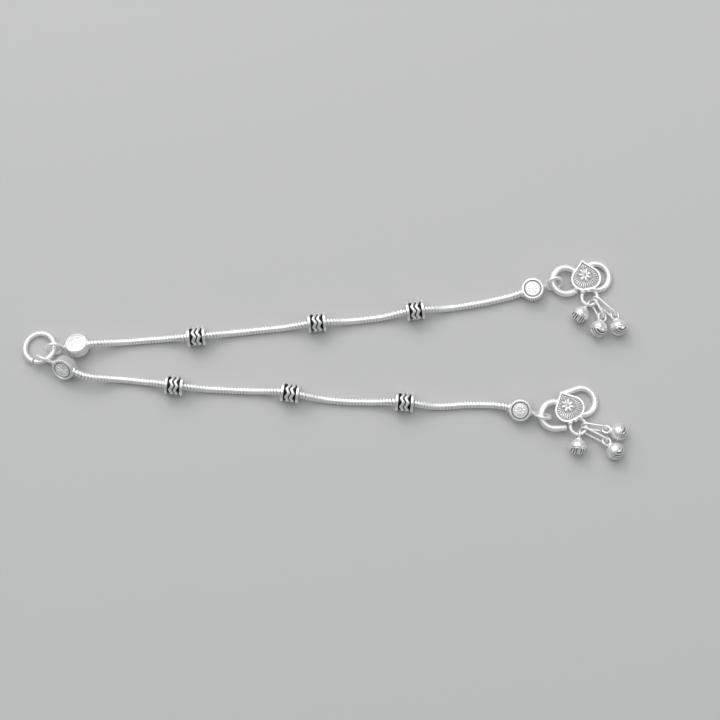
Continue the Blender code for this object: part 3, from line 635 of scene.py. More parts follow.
def wire_ring(radius, diameter, sides=16, bend_step=9.0):
    """A closed ring of wire in the XY plane."""
    ring = Wire(diameter, Vector((radius, 0.0, 0.0)), 90.0, sides, bend_step)
    ring.bend((0.0, 0.0, 0.0), 360.0)
    bmesh.ops.remove_doubles(ring.build, verts=ring.build.verts, dist=MERGE_DISTANCE)
    return ring.build


# %% [markdown]
# ## The snake chain
# A round snake chain is a row of narrow bands that nest into each other, so it looks like a fine
# ribbed tube. Each band could be cut from sheet and bent, but at this size a turned band with a
# slight saddle wave shows the same slanted ribs. The grooves are deep at the chain's two sides and
# shallow on top and below, and they keep less of their dark there, so the lighter top is a painted
# highlight. A band has few faces, because it's repeated along the whole strand, and a dark core
# closes the gaps between bands: painted shade where the inside of the chain shows.

# %% One band of the chain
BAND_PITCH = 0.69 * MM
BAND_GAP = 0.025 * MM
BAND_SIDES = 16
BAND_GROOVE = 0.12 * MM
BAND_SADDLE = 0.12 * MM
BAND_SHALLOW_TOP_PAINTED_HIGHLIGHT = 0.18


def chain_band():
    outer = CHAIN_DIAMETER / 2
    half = (BAND_PITCH - BAND_GAP) / 2
    profile = [
        (outer - 3 * BAND_GROOVE, 0.0, 1.0),
        (outer - BAND_GROOVE, -half, 1.0),
        (outer - BAND_GROOVE * 0.35, -half * 0.85, 0.3),
        (outer, -half * 0.45, 0.0),
        (outer, half * 0.45, 0.0),
        (outer - BAND_GROOVE * 0.35, half * 0.85, 0.3),
        (outer - BAND_GROOVE, half, 1.0),
    ]
    band = turned(profile, BAND_SIDES, closed_profile=True)
    layer = band.verts.layers.float["tarnish_and_painted_shade"]
    for vert in band.verts:
        angle = atan2(vert.co.y, vert.co.x)
        radius = vert.co.xy.length
        # On top and below only a share of the groove's depth and of its dark is kept; the top
        # painted lighter this way is a painted highlight.
        left = BAND_SHALLOW_TOP_PAINTED_HIGHLIGHT + (1.0 - BAND_SHALLOW_TOP_PAINTED_HIGHLIGHT) * cos(angle) ** 2
        if radius > outer - 2 * BAND_GROOVE:
            vert.co.xy *= (outer - (outer - radius) * left) / radius
            vert[layer] *= left
        vert.co.z += BAND_SADDLE * cos(2.0 * angle + pi / 2)
    bmesh.ops.recalc_face_normals(band, faces=band.faces)
    mesh = bpy.data.meshes.new("chain_band")
    band.to_mesh(mesh)
    band.free()
    return mesh


band_mesh = chain_band()
print("faces in a band:", len(band_mesh.polygons))


# %% The strand's line in space
def chain_height(line, drums, end_heights, distance):
    """Height of the chain's middle: on the table, and lifted by drums and coins."""
    half_drum = DRUM_LENGTH / 2
    start, end = CHAIN_STRAIGHT_END, line.length - CHAIN_STRAIGHT_END
    supports = [(start, start, end_heights[0])]
    for drum in drums:
        supports.append((drum - half_drum, drum + half_drum, DRUM_REST_HEIGHT))
    supports.append((end, end, end_heights[1]))
    for (_, left, left_height), (right, _, right_height) in zip(supports, supports[1:]):
        if distance > right:
            continue
        left_run = (left_height - CHAIN_REST_HEIGHT) / CHAIN_SLOPE
        right_run = (right_height - CHAIN_REST_HEIGHT) / CHAIN_SLOPE
        fit = min(1.0, (right - left) / (left_run + right_run))
        from_left = max(distance - left, 0.0) / (left_run * fit)
        from_right = (right - max(distance, left)) / (right_run * fit)
        share = min(from_left, from_right, 1.0)
        height = left_height if from_left < from_right else right_height
        return height + (CHAIN_REST_HEIGHT - height) * share * share * (3.0 - 2.0 * share)
    return end_heights[1]


def strand_line(strand):
    """From socket to socket: straight in each coin's socket, and on the route between."""
    line, drums = PLANS[strand]
    ends = []
    for side in ("inner", "outer"):
        for along in (COIN_SOCKET_DEPTH - COIN_SOCKET_GAP, -CHAIN_STRAIGHT_END):
            ends.append(coins[f"{strand}_{side}"] @ Vector((along - COIN_RADIUS, 0.0, 0.0)))
    heights = (ends[1].z, ends[3].z)
    points = ends[:2]
    run = line.length - 2 * CHAIN_STRAIGHT_END
    steps = round(run / MM)
    for index in range(1, steps):
        distance = CHAIN_STRAIGHT_END + run * index / steps
        point = line.place(distance)
        point.z = chain_height(line, drums, heights, distance)
        points.append(point)
    return Line(points + [ends[3], ends[2]])


strand_lines = {strand: strand_line(strand) for strand in PLANS}


# %% Thread the bands and the core
def core_mesh(line):
    """A plain tube inside the bands, which the chain makes fully dark as painted shade between
    them.
    """
    curve = bpy.data.curves.new("core", "CURVE")
    curve.dimensions = "3D"
    curve.bevel_depth = CHAIN_DIAMETER / 2 - 2 * BAND_GROOVE
    curve.bevel_resolution = 2
    curve.use_fill_caps = True
    spline = curve.splines.new("POLY")
    count = ceil(line.length / (2 * MM))
    spline.points.add(count)
    for index, point in enumerate(spline.points):
        point.co = (*line.place(line.length * index / count), 1.0)
    holder = bpy.data.objects.new("core", curve)
    bpy.context.scene.collection.objects.link(holder)
    bpy.context.view_layer.update()
    mesh = bpy.data.meshes.new_from_object(holder)
    bpy.data.objects.remove(holder)
    return mesh


def chain_piece(strand):
    line = strand_lines[strand]
    build = blank()
    core = core_mesh(line)
    build.from_mesh(core)
    bpy.data.meshes.remove(core)
    # Full dark on the core: painted shade where the inside of the chain shows between the bands.
    darken(build, build.verts, 1.0)
    count = int((line.length - BAND_PITCH) / BAND_PITCH)
    start = (line.length - count * BAND_PITCH) / 2
    for index in range(count + 1):
        distance = start + index * BAND_PITCH
        along = line.direction(distance)
        side = UP.cross(along).normalized()
        place = frame_matrix(line.place(distance), side, along.cross(side), along)
        build.verts.ensure_lookup_table()
        before = len(build.verts)
        build.from_mesh(band_mesh)
        build.verts.ensure_lookup_table()
        bmesh.ops.transform(build, matrix=place, verts=build.verts[before:])
    print(f"chain_{strand}:", count + 1, "bands,", len(build.faces), "faces")
    finish_piece(build, f"chain_{strand}", HERE, [chained], sharp=60.0)


for strand in PLANS:
    chain_piece(strand)

# %% [markdown]
# ## The drum beads
# Each bead is turned with a flange at both ends. Between them runs a sunk black ground with two
# zigzag ridges. A straight ridge is turned first, and then its rings of points are pushed along
# the axis by a zigzag, which keeps the ridge's section round.

# %% Turn the beads
DRUM_SIDES = 72
FLANGE_ROUND = 0.13 * MM
RIDGE_WIDTH = 0.76 * MM


def zigzag(angle):
    """A wave with nearly straight flanks, from -1 to 1."""
    return asin(0.97 * cos(DRUM_WAVES * angle)) / asin(0.97)


def drum_flange(side):
    outer, bore = DRUM_DIAMETER / 2, CHAIN_DIAMETER / 2 + DRUM_BORE_GAP
    end = DRUM_LENGTH / 2
    inner = end - DRUM_FLANGE_WIDTH
    rows = [
        (bore, inner - FLANGE_ROUND, 1.0),
        (outer - DRUM_GROUND_DEPTH, inner, 1.0),
        (outer - FLANGE_ROUND, inner, 0.3),
        (outer - FLANGE_ROUND * 0.3, inner + FLANGE_ROUND * 0.3, 0.0),
        (outer, inner + FLANGE_ROUND, 0.0),
        (outer, end - FLANGE_ROUND, 0.0),
        (outer - FLANGE_ROUND * 0.3, end - FLANGE_ROUND * 0.3, 0.0),
        (outer - FLANGE_ROUND, end, 0.0),
        (bore + FLANGE_ROUND, end, 0.2),
        (bore, end - FLANGE_ROUND, 0.8),
    ]
    return turned([(r, side * z, t) for r, z, t in rows], DRUM_SIDES, closed_profile=True)


def drum_ground():
    bore = CHAIN_DIAMETER / 2 + DRUM_BORE_GAP
    ground = DRUM_DIAMETER / 2 - DRUM_GROUND_DEPTH
    half = DRUM_LENGTH / 2 - DRUM_FLANGE_WIDTH * 0.8
    rows = [(bore, -half, 1.0), (ground, -half, 1.0), (ground, half, 1.0), (bore, half, 1.0)]
    return turned(rows, DRUM_SIDES, closed_profile=True)


def drum_ridge(side):
    ground = DRUM_DIAMETER / 2 - DRUM_GROUND_DEPTH
    half = RIDGE_WIDTH / 2
    rows = [
        (ground - half * 0.2, -half, 1.0),
        (ground + DRUM_RIDGE_HEIGHT * 0.7, -half * 0.88, 0.2),
        (ground + DRUM_RIDGE_HEIGHT, -half * 0.6, 0.0),
        (ground + DRUM_RIDGE_HEIGHT * 1.1, 0.0, 0.0),
        (ground + DRUM_RIDGE_HEIGHT, half * 0.6, 0.0),
        (ground + DRUM_RIDGE_HEIGHT * 0.7, half * 0.88, 0.2),
        (ground - half * 0.2, half, 1.0),
    ]
    ridge = turned(rows, DRUM_SIDES, closed_profile=True)
    for vert in ridge.verts:
        angle = atan2(vert.co.y, vert.co.x)
        vert.co.z += DRUM_WAVE_HEIGHT * zigzag(angle) + side * DRUM_RIDGE_SPACING / 2
    return ridge


half_side = Matrix.Rotation(pi / DRUM_SOLID_SIDES, 4, "Z")
for strand, (line, drums) in PLANS.items():
    for index, distance in enumerate(drums, start=1):
        parts = [(drum_ground(), HERE, 0)]
        for side in (-1, 1):
            parts.append((drum_flange(side), HERE, 0))
            parts.append((drum_ridge(side), half_side, 0))
        heading = heading_of(line.direction(distance))
        turn = Matrix.Rotation(radians(heading), 4, "Z") @ Matrix.Rotation(pi / 2, 4, "Y")
        place = Matrix.Translation(line.place(distance) + UP * DRUM_REST_HEIGHT) @ turn
        node = f"drum_{strand}_{index}"
        finish_piece(fused(parts), node, place, [oxidised])
print("drum beads made")

# %% [markdown]
# ## The coins
# A thick coin closes each end of a strand: the chain is soldered into its edge on one side, and
# a neck with an eye stands on the other. Its edge is reeded, and inside a raised rim lie a dark
# groove, a ring of small beads and a rosette of eight petals. The disc is turned, the reeds are
# pushed into its edge as waves, and the beads and petals are small half-sunk shapes. One coin by
# the ring keeps little of its dark, so it is painted lighter: a painted highlight.

# %% The coin's disc and its reeded edge
REEDS = 34
COIN_SIDES = 6 * REEDS
REED_DEPTH = 0.12 * MM
COIN_ROUND = 0.26 * MM
COIN_FACE_DIP = 0.1 * MM
COIN_LIP = 0.06 * MM


def coin_disc():
    half = COIN_THICKNESS / 2
    rim = COIN_RADIUS - COIN_RIM_WIDTH
    groove = rim - COIN_GROOVE_WIDTH
    floor = half - COIN_GROOVE_DEPTH
    rows = []
    for side in (1, -1):
        face = [
            (0.0, side * (half - COIN_FACE_DIP * 0.6), 0.2),
            (groove * 0.6, side * (half - COIN_FACE_DIP * 0.8), 0.25),
            (groove * 0.9, side * (half - COIN_FACE_DIP), 0.3),
            (groove, side * (half - COIN_FACE_DIP * 1.4), 0.5),
            (groove + COIN_LIP, side * floor, 1.0),
            (rim - COIN_LIP, side * floor, 1.0),
            (rim, side * (half - COIN_FACE_DIP * 0.5), 0.2),
            (rim + COIN_LIP, side * half, 0.0),
            (COIN_RADIUS - COIN_ROUND, side * half, 0.0),
            (COIN_RADIUS - COIN_ROUND * 0.55, side * (half - COIN_ROUND * 0.12), 0.0),
            (COIN_RADIUS - COIN_ROUND * 0.15, side * (half - COIN_ROUND * 0.5), 0.0),
            (COIN_RADIUS, side * (half - COIN_ROUND), 0.0),
        ]
        rows += face if side == 1 else face[::-1]
    return turned(rows, COIN_SIDES)


def press_reeds(disc):
    """Push the valleys between the reeds in, deepest on the edge and fading over its rounding."""
    layer = disc.verts.layers.float["tarnish_and_painted_shade"]
    for vert in disc.verts:
        radius = Vector((vert.co.x, vert.co.y)).length
        share = (radius - COIN_RADIUS + COIN_ROUND) / COIN_ROUND
        if share <= 0.01:
            continue
        angle = atan2(vert.co.y, vert.co.x)
        valley = (0.5 - 0.5 * cos(REEDS * angle)) ** 2
        vert.co.xy *= 1.0 - REED_DEPTH * min(1.0, share * 1.6) * valley / radius
        vert[layer] = max(vert[layer], valley * 0.8)
    return disc


# %% Grains, beads and petals
def grain(diameter, segments=8):
    build = blank()
    bmesh.ops.create_uvsphere(build, u_segments=segments, v_segments=6, radius=diameter / 2)
    return build


def ridge(start, direction, length, width, height, narrowing=0.25):
    """A long rounded ridge: a sphere drawn out along its direction, narrower at one end."""
    build = blank()
    bmesh.ops.create_uvsphere(build, u_segments=12, v_segments=8, radius=1.0)
    for vert in build.verts:
        vert.co.y *= 1.0 - abs(narrowing) - narrowing * vert.co.x
    size = Matrix.Diagonal((length / 2, width / 2, height, 1.0))
    turn = Matrix.Rotation(atan2(direction.y, direction.x), 4, "Z")
    place = Matrix.Translation(start + direction * length / 2) @ turn @ size
    bmesh.ops.transform(build, matrix=place, verts=build.verts)
    low = [vert for vert in build.verts if vert.co.z < start.z + height * 0.3]
    darken(build, low, 0.6)
    return build


COIN_BEADS = 24
COIN_BEAD = 0.3 * MM
PETALS = 8
PETAL_LENGTH = 0.95 * MM
PETAL_WIDTH = 0.44 * MM
PETAL_HEIGHT = 0.2 * MM
ROSETTE_GRAIN = 0.5 * MM
ROSETTE_START = 0.3 * MM


def coin_face():
    """Rows of (shape, place, finish) for the beads and the rosette of one face."""
    surface = UP * (COIN_THICKNESS / 2 - COIN_FACE_DIP)
    bead_ring = COIN_RADIUS - COIN_RIM_WIDTH - COIN_GROOVE_WIDTH - COIN_BEAD * 0.45
    rows = [(grain(ROSETTE_GRAIN, segments=12), Matrix.Translation(surface), 0)]
    for index in range(COIN_BEADS):
        spot = level(360.0 * index / COIN_BEADS) * bead_ring + surface
        rows.append((grain(COIN_BEAD), Matrix.Translation(spot), 0))
    for index in range(PETALS):
        away = level(360.0 * (index + 0.5) / PETALS)
        start = away * ROSETTE_START + surface
        petal = ridge(start, away, PETAL_LENGTH, PETAL_WIDTH, PETAL_HEIGHT, narrowing=-0.25)
        rows.append((petal, HERE, 0))
    return rows


# %% The neck, the eye and the socket
NECK_SINK = 0.3 * MM
COLLAR_SINK = 0.35 * MM
COLLAR_HEIGHT = 0.14 * MM
COLLAR_WALL = 0.22 * MM


def coin_neck():
    start, eye_wall = COIN_RADIUS - NECK_SINK, COIN_RADIUS + NECK_LENGTH + EYE_WIRE * 0.6
    rows = [
        (0.0, start, 0.0),
        (NECK_DIAMETER / 2, start, 0.0),
        (NECK_DIAMETER / 2, COIN_RADIUS + 0.05 * MM, 0.6),
        (NECK_DIAMETER * 0.42, COIN_RADIUS + NECK_LENGTH * 0.5, 0.2),
        (EYE_WIRE * 0.52, COIN_RADIUS + NECK_LENGTH * 1.1, 0.1),
        (EYE_WIRE * 0.44, eye_wall, 0.0),
        (0.0, eye_wall, 0.0),
    ]
    return turned(rows, 32)


def coin_collar():
    """The short raised collar where the chain goes in."""
    bore = CHAIN_DIAMETER / 2 + COIN_SOCKET_GAP * 0.6
    outer = bore + COLLAR_WALL
    start, end = COIN_RADIUS - COLLAR_SINK, COIN_RADIUS + COLLAR_HEIGHT
    rows = [
        (bore, start, 1.0),
        (outer, start, 0.5),
        (outer, end - 0.08 * MM, 0.0),
        (outer - 0.07 * MM, end, 0.0),
        (bore + 0.05 * MM, end, 0.3),
        (bore, end - 0.05 * MM, 0.9),
    ]
    return turned(rows, 32, closed_profile=True)


ALONG = Matrix.Rotation(pi / 2, 4, "Y")
COIN_DARK_KEPT_PAINTED_HIGHLIGHT = {"upper_inner": 0.3}
for name, place in coins.items():
    eye_turn = Matrix.Rotation(radians(COIN_POSES[name]["eye_roll"]), 4, "X") @ ON_SIDE
    parts = [(press_reeds(coin_disc()), HERE, 0)]
    for face in (HERE, Matrix.Rotation(pi, 4, "X")):
        parts += [(shape, face @ spot, finish) for shape, spot, finish in coin_face()]
    parts.append((coin_neck(), ALONG, 0))
    parts.append((coin_collar(), ALONG.inverted(), 0))
    eye_place = Matrix.Translation((EYE_OFFSET, 0.0, 0.0)) @ eye_turn
    parts.append((wire_ring(EYE_RADIUS, EYE_WIRE), eye_place, 1))
    build = fused(parts)
    # The coin by the ring keeps only part of its dark: a painted highlight.
    layer = build.verts.layers.float["tarnish_and_painted_shade"]
    for vert in build.verts:
        vert[layer] *= COIN_DARK_KEPT_PAINTED_HIGHLIGHT.get(name, 1.0)
    finish_piece(build, f"coin_{name}", place, [stamped, polished])
print("coins made:", len(coins))

# %% [markdown]
# ## The centre ring
# The ring that joins the strands is round wire, bent into a circle and left with its two ends
# cut flat and close together. It's made the same way here: one bend of nearly a full turn, and a
# small chamfer on both cut ends.

# %% Bend the ring
RING_CHAMFER = 0.1 * MM
half_cut = degrees(RING_CUT / 2 / RING_RADIUS)
ring_start = RING_CUT_ANGLE + half_cut
ring_wire = Wire(RING_WIRE, level(ring_start) * RING_RADIUS, ring_start + 90.0, sides=20)
ring_wire.bend((0.0, 0.0, 0.0), 360.0 - 2 * half_cut)
finish_piece(ring_wire.cut(RING_CHAMFER), "centre_ring", ring_place, [polished])
print("ring made, outer diameter", round((2 * RING_RADIUS + RING_WIRE) / MM, 2), "mm")

# %% [markdown]
# ## The S hooks
# Each hook is one piece of thick wire: a tail, a loop, a straight bar across, the second loop
# turned the other way, and its tail. The far tail runs on under the leaf plate's tip and stops
# just short of the first loop, so its length follows from the loops.


# %% Bend the S
HOOK_CHAMFER = 0.16 * MM


def far_tail_length(far):
    """The second loop's tail runs straight until it is a gap short of the first loop."""
    leave = Vector((HOOK_LOOP_SPACING, 0.0, 0.0)) - level(-far) * HOOK_LOOP_RADIUS
    along = leave.dot(level(270.0 - far))
    stop = HOOK_LOOP_RADIUS + HOOK_WIRE + HOOK_TAIL_GAP
    return -along - sqrt(along**2 - leave.length_squared + stop**2)


def s_wire(pose):
    radius, spacing = HOOK_LOOP_RADIUS, HOOK_LOOP_SPACING
    near, far = pose["tail_angle"], pose["far_tail_angle"]
    lean = degrees(acos(2 * radius / spacing))
    start = level(-near) * radius + level(90.0 - near) * pose["tail"]
    wire = Wire(HOOK_WIRE, start, 270.0 - near, sides=20)
    wire.run(pose["tail"])
    wire.bend((0.0, 0.0, 0.0), near + lean - 360.0)
    wire.run(sqrt(spacing**2 - 4 * radius**2))
    wire.bend((spacing, 0.0, 0.0), 360.0 - far - lean)
    wire.run(far_tail_length(far))
    return wire.cut(HOOK_CHAMFER)


# %% [markdown]
# ## The leaf plate
# A betel-leaf plate is soldered across each hook, with a raised rim, a sunk field, petals and ribs
# that fan out round them. The outline is spun: a point is swung round the lobe's centre, an
# edge leads to the tip, and a mirror makes the other half. Then the face is drawn up, inset and
# pushed down for the field.

# %% The plate with its rim and field
LEAF_CHAMFER = 0.1 * MM
LOBE_CENTRE = Vector((LEAF_LENGTH - LEAF_LOBE_RADIUS, LEAF_WIDTH / 2 - LEAF_LOBE_RADIUS, 0.0))
EDGE_LEAN = atan2(LOBE_CENTRE.y, LOBE_CENTRE.x) + asin(LEAF_LOBE_RADIUS / LOBE_CENTRE.length)


def leaf_plate():
    plate = blank()
    start = LOBE_CENTRE + level(degrees(EDGE_LEAN) + 90.0) * LEAF_LOBE_RADIUS
    first = plate.verts.new(start)
    sweep = -EDGE_LEAN - pi / 2
    bmesh.ops.spin(plate, geom=[first], cent=LOBE_CENTRE, axis=UP, angle=sweep, steps=16)
    plate.edges.new((plate.verts.new((0.0, 0.0, 0.0)), first))
    shape = list(plate.verts) + list(plate.edges)
    bmesh.ops.mirror(plate, geom=shape, axis="Y", merge_dist=0.01 * MM)
    base = sorted(plate.verts, key=lambda vert: vert.co.x)[-2:]
    plate.edges.new(base)
    face = bmesh.ops.contextual_create(plate, geom=list(plate.edges))["faces"]
    grown = bmesh.ops.extrude_face_region(plate, geom=face)["geom"]
    top_verts = [item for item in grown if isinstance(item, bmesh.types.BMVert)]
    top = [item for item in grown if isinstance(item, bmesh.types.BMFace)]
    height = LEAF_THICKNESS + LEAF_RELIEF
    bmesh.ops.translate(plate, verts=top_verts, vec=UP * height)
    bmesh.ops.inset_region(plate, faces=top, thickness=LEAF_CHAMFER, depth=0.0)
    bmesh.ops.inset_region(plate, faces=top, thickness=LEAF_RIM_WIDTH * 0.6, depth=0.0)
    bmesh.ops.inset_region(plate, faces=top, thickness=LEAF_CHAMFER, depth=0.0)
    field = list({vert for item in top for vert in item.verts})
    bmesh.ops.translate(plate, verts=field, vec=-UP * LEAF_RELIEF)
    darken(plate, field, 0.68)
    outer = [vert for vert in top_verts if vert.is_valid]
    bmesh.ops.translate(plate, verts=outer, vec=-UP * LEAF_CHAMFER)
    return plate


# %% How far a line on the field runs before it meets the rim
def in_field(point, margin):
    """Whether a point of the plate lies inside its outline by at least the margin."""
    across = abs(point.y)
    from_edge = point.x * sin(EDGE_LEAN) - across * cos(EDGE_LEAN)
    if from_edge < margin or point.x > LEAF_LENGTH - margin:
        return False
    lobe = Vector((point.x, across, 0.0)) - LOBE_CENTRE
    if 0.0 < atan2(lobe.y, lobe.x) < EDGE_LEAN + pi / 2:
        return lobe.length < LEAF_LOBE_RADIUS - margin
    return True


def run_to_rim(start, direction, margin):
    step = 0.05 * MM
    length = 0.0
    while in_field(start + direction * (length + step), margin):
        length += step
    return length


# %% The petals, the fan of ribs and the grains
FAN_CENTRE = 0.5 * LEAF_LENGTH
FAN_INNER = 1.5 * MM
RIB_STEP = 11.0
RIB_COUNT = 12
RIB_WIDTH = 0.36 * MM
RIB_LEAST = 0.3 * MM
TIP_PETAL_LENGTH = 1.3 * MM
TIP_PETAL_WIDTH = 0.42 * MM
TIP_PETAL_SPACING = 0.42 * MM
PETAL_START = 0.12 * MM
# Heading in degrees, length and width in mm
LEAF_PETALS = [
    (0.0, 1.5, 0.84),
    (52.0, 1.5, 0.86),
    (-52.0, 1.5, 0.86),
    (104.0, 1.4, 0.82),
    (-104.0, 1.4, 0.82),
    (150.0, 1.6, 0.66),
    (-150.0, 1.6, 0.66),
    (180.0, 1.4, 0.46),
]


def leaf_relief():
    floor = UP * LEAF_THICKNESS
    crest = LEAF_RELIEF * 0.95
    centre = Vector((FAN_CENTRE, 0.0, 0.0)) + floor
    rows = []
    for step in range(-RIB_COUNT, RIB_COUNT + 1):
        direction = level(step * RIB_STEP)
        start = centre + direction * FAN_INNER
        length = run_to_rim(start, direction, LEAF_RIM_WIDTH)
        if length > RIB_LEAST:
            rib = ridge(start, direction, length, RIB_WIDTH, crest * 0.85, narrowing=-0.2)
            rows.append((rib, HERE, 0))
    for heading, length, width in LEAF_PETALS:
        away = level(heading)
        start = centre + away * PETAL_START
        petal = ridge(start, away, length * MM, width * MM, crest * 1.25, narrowing=-0.15)
        rows.append((petal, HERE, 0))
    for side in (-1, 0, 1):
        along = LEAF_LENGTH * (0.3 - 0.03 * abs(side))
        start = Vector((along, side * TIP_PETAL_SPACING, 0.0)) + floor
        direction = level(180.0 - side * 12.0)
        length = min(TIP_PETAL_LENGTH, run_to_rim(start, direction, LEAF_RIM_WIDTH))
        petal = ridge(start, direction, length, TIP_PETAL_WIDTH, crest, narrowing=0.2)
        rows.append((petal, HERE, 0))
    return rows


def leaf_grains():
    rows = []
    for place in (-1, 0, 1):
        spot = Vector((LEAF_LENGTH + GRAIN_DIAMETER * 0.1, place * GRAIN_SPACING, 0.0))
        spot.z = LEAF_THICKNESS * 0.75
        rows.append((grain(GRAIN_DIAMETER, segments=24), Matrix.Translation(spot), 1))
    return rows


# %% Solder the hooks together
for strand, place in hooks.items():
    parts = [(s_wire(HOOK_POSES[strand]), HERE, 1)]
    seat = leaf_place(HOOK_POSES[strand])
    for shape, within, finish in [(leaf_plate(), HERE, 0), *leaf_relief(), *leaf_grains()]:
        parts.append((shape, seat @ within, finish))
    bail = wire_ring(BAIL_RADIUS, BAIL_WIRE)
    parts.append((bail, Matrix.Translation(bail_centre(HOOK_POSES[strand])), 1))
    build = fused(parts)
    print(f"hook_{strand}:", len(build.faces), "faces")
    finish_piece(build, f"hook_{strand}", place, [stamped, polished])

# %% [markdown]
# ## The long links
# A link is an oval of thin wire: half a bend, a run, half a bend, and the last run is the bridge
# that closes it.

# %% Bend the links
for name, (place, length) in links.items():
    bend_radius = (LINK_WIDTH - LINK_WIRE) / 2
    reach = (length - LINK_WIRE) / 2 - bend_radius
    link = Wire(LINK_WIRE, Vector((reach, -bend_radius, 0.0)), 0.0, sides=12, bend_step=12.0)
    link.bend((reach, 0.0, 0.0), 180.0)
    link.run(2 * reach)
    link.bend((-reach, 0.0, 0.0), 180.0)
    finish_piece(link.close(), f"bell_link_{name}", place, [polished])
print("links made:", len(links))

# %% [markdown]
# ## The bells
# A ghungroo bell is pressed from two thin shells that meet in a low seam round its middle. A slot
# and three fine cuts on each side of it run in parallel across its bottom. The shell is
# turned, planes split it along the cuts, the strips between them are pushed in or taken out, and
# solidify gives the wall its thickness.

# %% Turn the shell and cut its bottom
BELL_SIDES = 48
BELL_RINGS = 32
BELL_CUTS = [index * BELL_CUT_SPACING for index in (-3, -2, -1, 1, 2, 3)]


def bell_shell():
    radius, half = BELL_DIAMETER / 2 - BELL_SEAM_HEIGHT, BELL_HEIGHT / 2
    seam = BELL_SEAM_WIDTH / 2
    rows = []
    for index in range(BELL_RINGS + 1):
        angle = pi * index / BELL_RINGS
        if abs(half * cos(angle)) > seam:
            rows.append((radius * sin(angle), half * cos(angle), 0.0))
    upper = len(rows) // 2
    band = [
        (radius - 0.02 * MM, seam, 0.6),
        (BELL_DIAMETER / 2 - 0.03 * MM, seam * 0.7, 0.1),
        (BELL_DIAMETER / 2, seam * 0.4, 0.0),
        (BELL_DIAMETER / 2, -seam * 0.4, 0.0),
        (BELL_DIAMETER / 2 - 0.03 * MM, -seam * 0.7, 0.1),
        (radius - 0.02 * MM, -seam, 0.6),
    ]
    return turned(rows[:upper] + band + rows[upper:], BELL_SIDES)


def cut_bottom(shell):
    """Split the bottom along each cut, push the fine cuts in and open the slot."""
    shrink = Vector((1.0, 1.0, 1.0)) * (1.0 - BELL_CUT_DEPTH / (BELL_DIAMETER / 2))
    edges = [-BELL_SLOT_WIDTH / 2, BELL_SLOT_WIDTH / 2]
    for middle in BELL_CUTS:
        edges += [middle - BELL_CUT_WIDTH / 2, middle + BELL_CUT_WIDTH / 2]
    for edge in edges:
        bmesh.ops.bisect_plane(
            shell,
            geom=list(shell.verts) + list(shell.edges) + list(shell.faces),
            plane_co=(0.0, edge, 0.0),
            plane_no=(0.0, 1.0, 0.0),
            dist=MERGE_DISTANCE,
        )
    low = [face for face in shell.faces if face.calc_center_median().z < -BELL_CUT_START]
    for middle in BELL_CUTS:
        strip = [
            face
            for face in low
            if abs(face.calc_center_median().y - middle) < BELL_CUT_WIDTH / 2
        ]
        sunk = bmesh.ops.extrude_face_region(shell, geom=strip)["geom"]
        bmesh.ops.delete(shell, geom=strip, context="FACES")
        verts = [item for item in sunk if isinstance(item, bmesh.types.BMVert)]
        bmesh.ops.scale(shell, vec=shrink, verts=verts)
        darken(shell, verts, 1.0)
        low = [face for face in low if face.is_valid]
    slot = [face for face in low if abs(face.calc_center_median().y) < BELL_SLOT_WIDTH / 2]
    bmesh.ops.delete(shell, geom=slot, context="FACES")
    bmesh.ops.recalc_face_normals(shell, faces=shell.faces)
    bmesh.ops.solidify(shell, geom=list(shell.faces), thickness=BELL_WALL)
    return shell


# %% The bell's cap and loop
def bell_cap():
    half = BELL_HEIGHT / 2
    rows = [
        (0.0, half * 0.8, 0.0),
        (BELL_LOOP_WIRE * 1.5, half * 0.84, 0.5),
        (BELL_LOOP_WIRE * 1.35, half + 0.04 * MM, 0.0),
        (BELL_LOOP_WIRE * 0.8, half + 0.12 * MM, 0.0),
        (BELL_LOOP_WIRE * 0.5, BELL_REACH - BELL_LOOP_RADIUS, 0.2),
        (0.0, BELL_REACH - BELL_LOOP_RADIUS, 0.0),
    ]
    return turned(rows, 24)


for name, place in bells.items():
    loop = wire_ring(BELL_LOOP_RADIUS, BELL_LOOP_WIRE, sides=12, bend_step=15.0)
    loop_place = Matrix.Translation((0.0, 0.0, BELL_REACH)) @ ON_SIDE
    parts = [(cut_bottom(bell_shell()), HERE, 0), (bell_cap(), HERE, 0), (loop, loop_place, 0)]
    build = fused(parts)
    finish_piece(build, f"bell_{name}", place, [belled])
print("bells made:", len(bells))

# %% [markdown]
# ## Floor, light and camera
# The floor is plain and pale. Silver shows what surrounds it, so the light comes from large soft
# panels: a bright, broad one beyond the anklet, which draws the line of light along each wire,
# and two weak ones that add a spark. The camera looks down steeply, as the photograph does.

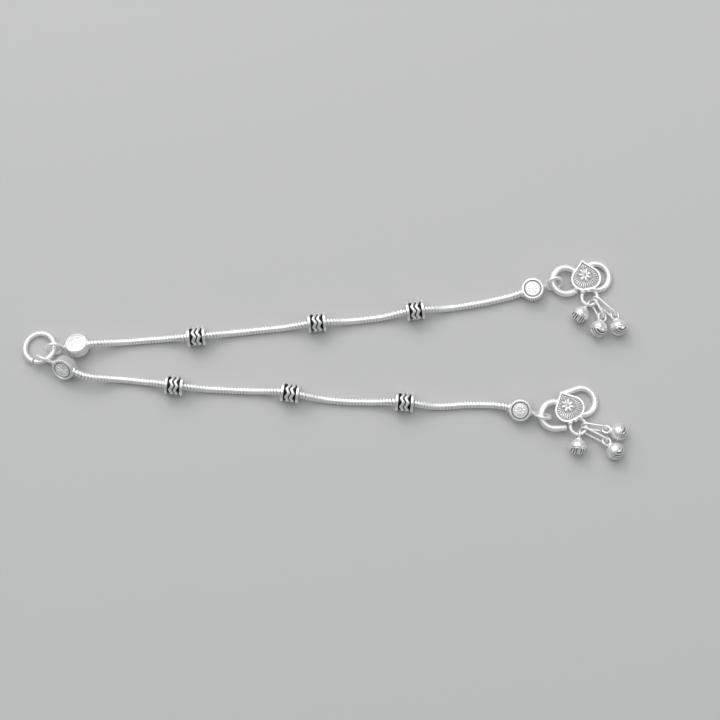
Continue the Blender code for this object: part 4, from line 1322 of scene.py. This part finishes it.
# %% A plain pale floor
FLOOR_SIDE = 3.0
FLOOR_DROP = 0.02 * MM
floor_build = bmesh.new()
bmesh.ops.create_grid(floor_build, x_segments=1, y_segments=1, size=FLOOR_SIDE / 2)
floor_mesh = bpy.data.meshes.new("floor")
floor_build.to_mesh(floor_mesh)
floor_build.free()
floor = bpy.data.objects.new("floor", floor_mesh)
floor.location.z = -FLOOR_DROP
bpy.context.scene.collection.objects.link(floor)
floor_finish = bpy.data.materials.new("pale_floor")
floor_finish.use_nodes = True
floor_shader = floor_finish.node_tree.nodes["Principled BSDF"]
floor_shader.inputs["Base Color"].default_value = (0.55, 0.55, 0.54, 1.0)
floor_shader.inputs["Roughness"].default_value = 0.85
floor_mesh.materials.append(floor_finish)


# %% Soft studio light
def panel(name, place, size, power):
    """A square soft panel that faces the anklet."""
    light = bpy.data.lights.new(name, "AREA")
    light.shape = "SQUARE"
    light.size = size
    light.energy = power
    holder = bpy.data.objects.new(name, light)
    holder.location = place
    holder.rotation_euler = (-Vector(place)).to_track_quat("-Z", "Y").to_euler()
    bpy.context.scene.collection.objects.link(holder)


panel("key_panel", (-0.15, 0.4, 0.75), 1.3, 8.6)
panel("side_panel", (0.6, -0.1, 0.4), 0.3, 0.5)
panel("spark_panel", (-0.25, 0.5, 0.55), 0.16, 0.7)
world = bpy.data.worlds.new("studio")
bpy.context.scene.world = world
world.use_nodes = True
background = world.node_tree.nodes["Background"]
background.inputs["Color"].default_value = (0.9, 0.94, 1.0, 1.0)
background.inputs["Strength"].default_value = 0.25
bpy.context.scene.view_settings.view_transform = "Standard"
print("lights set")

# %% The camera at the photograph's angle
CAMERA_ELEVATION = 80.0
CAMERA_LENS = 90.0
FRAME_WIDTH = 158.4 * MM
AIM = Vector((7.7 * MM, 0.0, 0.0))

camera_data = bpy.data.cameras.new("camera")
camera_data.lens = CAMERA_LENS
camera = bpy.data.objects.new("camera", camera_data)
distance = FRAME_WIDTH * CAMERA_LENS / camera_data.sensor_width
aim = SHIFT @ AIM
back = Vector((0.0, -cos(radians(CAMERA_ELEVATION)), sin(radians(CAMERA_ELEVATION))))
camera.location = aim + back * distance
camera.rotation_euler = (-back).to_track_quat("-Z", "Y").to_euler()
camera_data.clip_start = 0.01
bpy.context.scene.collection.objects.link(camera)
bpy.context.scene.camera = camera
print("camera", round(distance, 3), "m away")
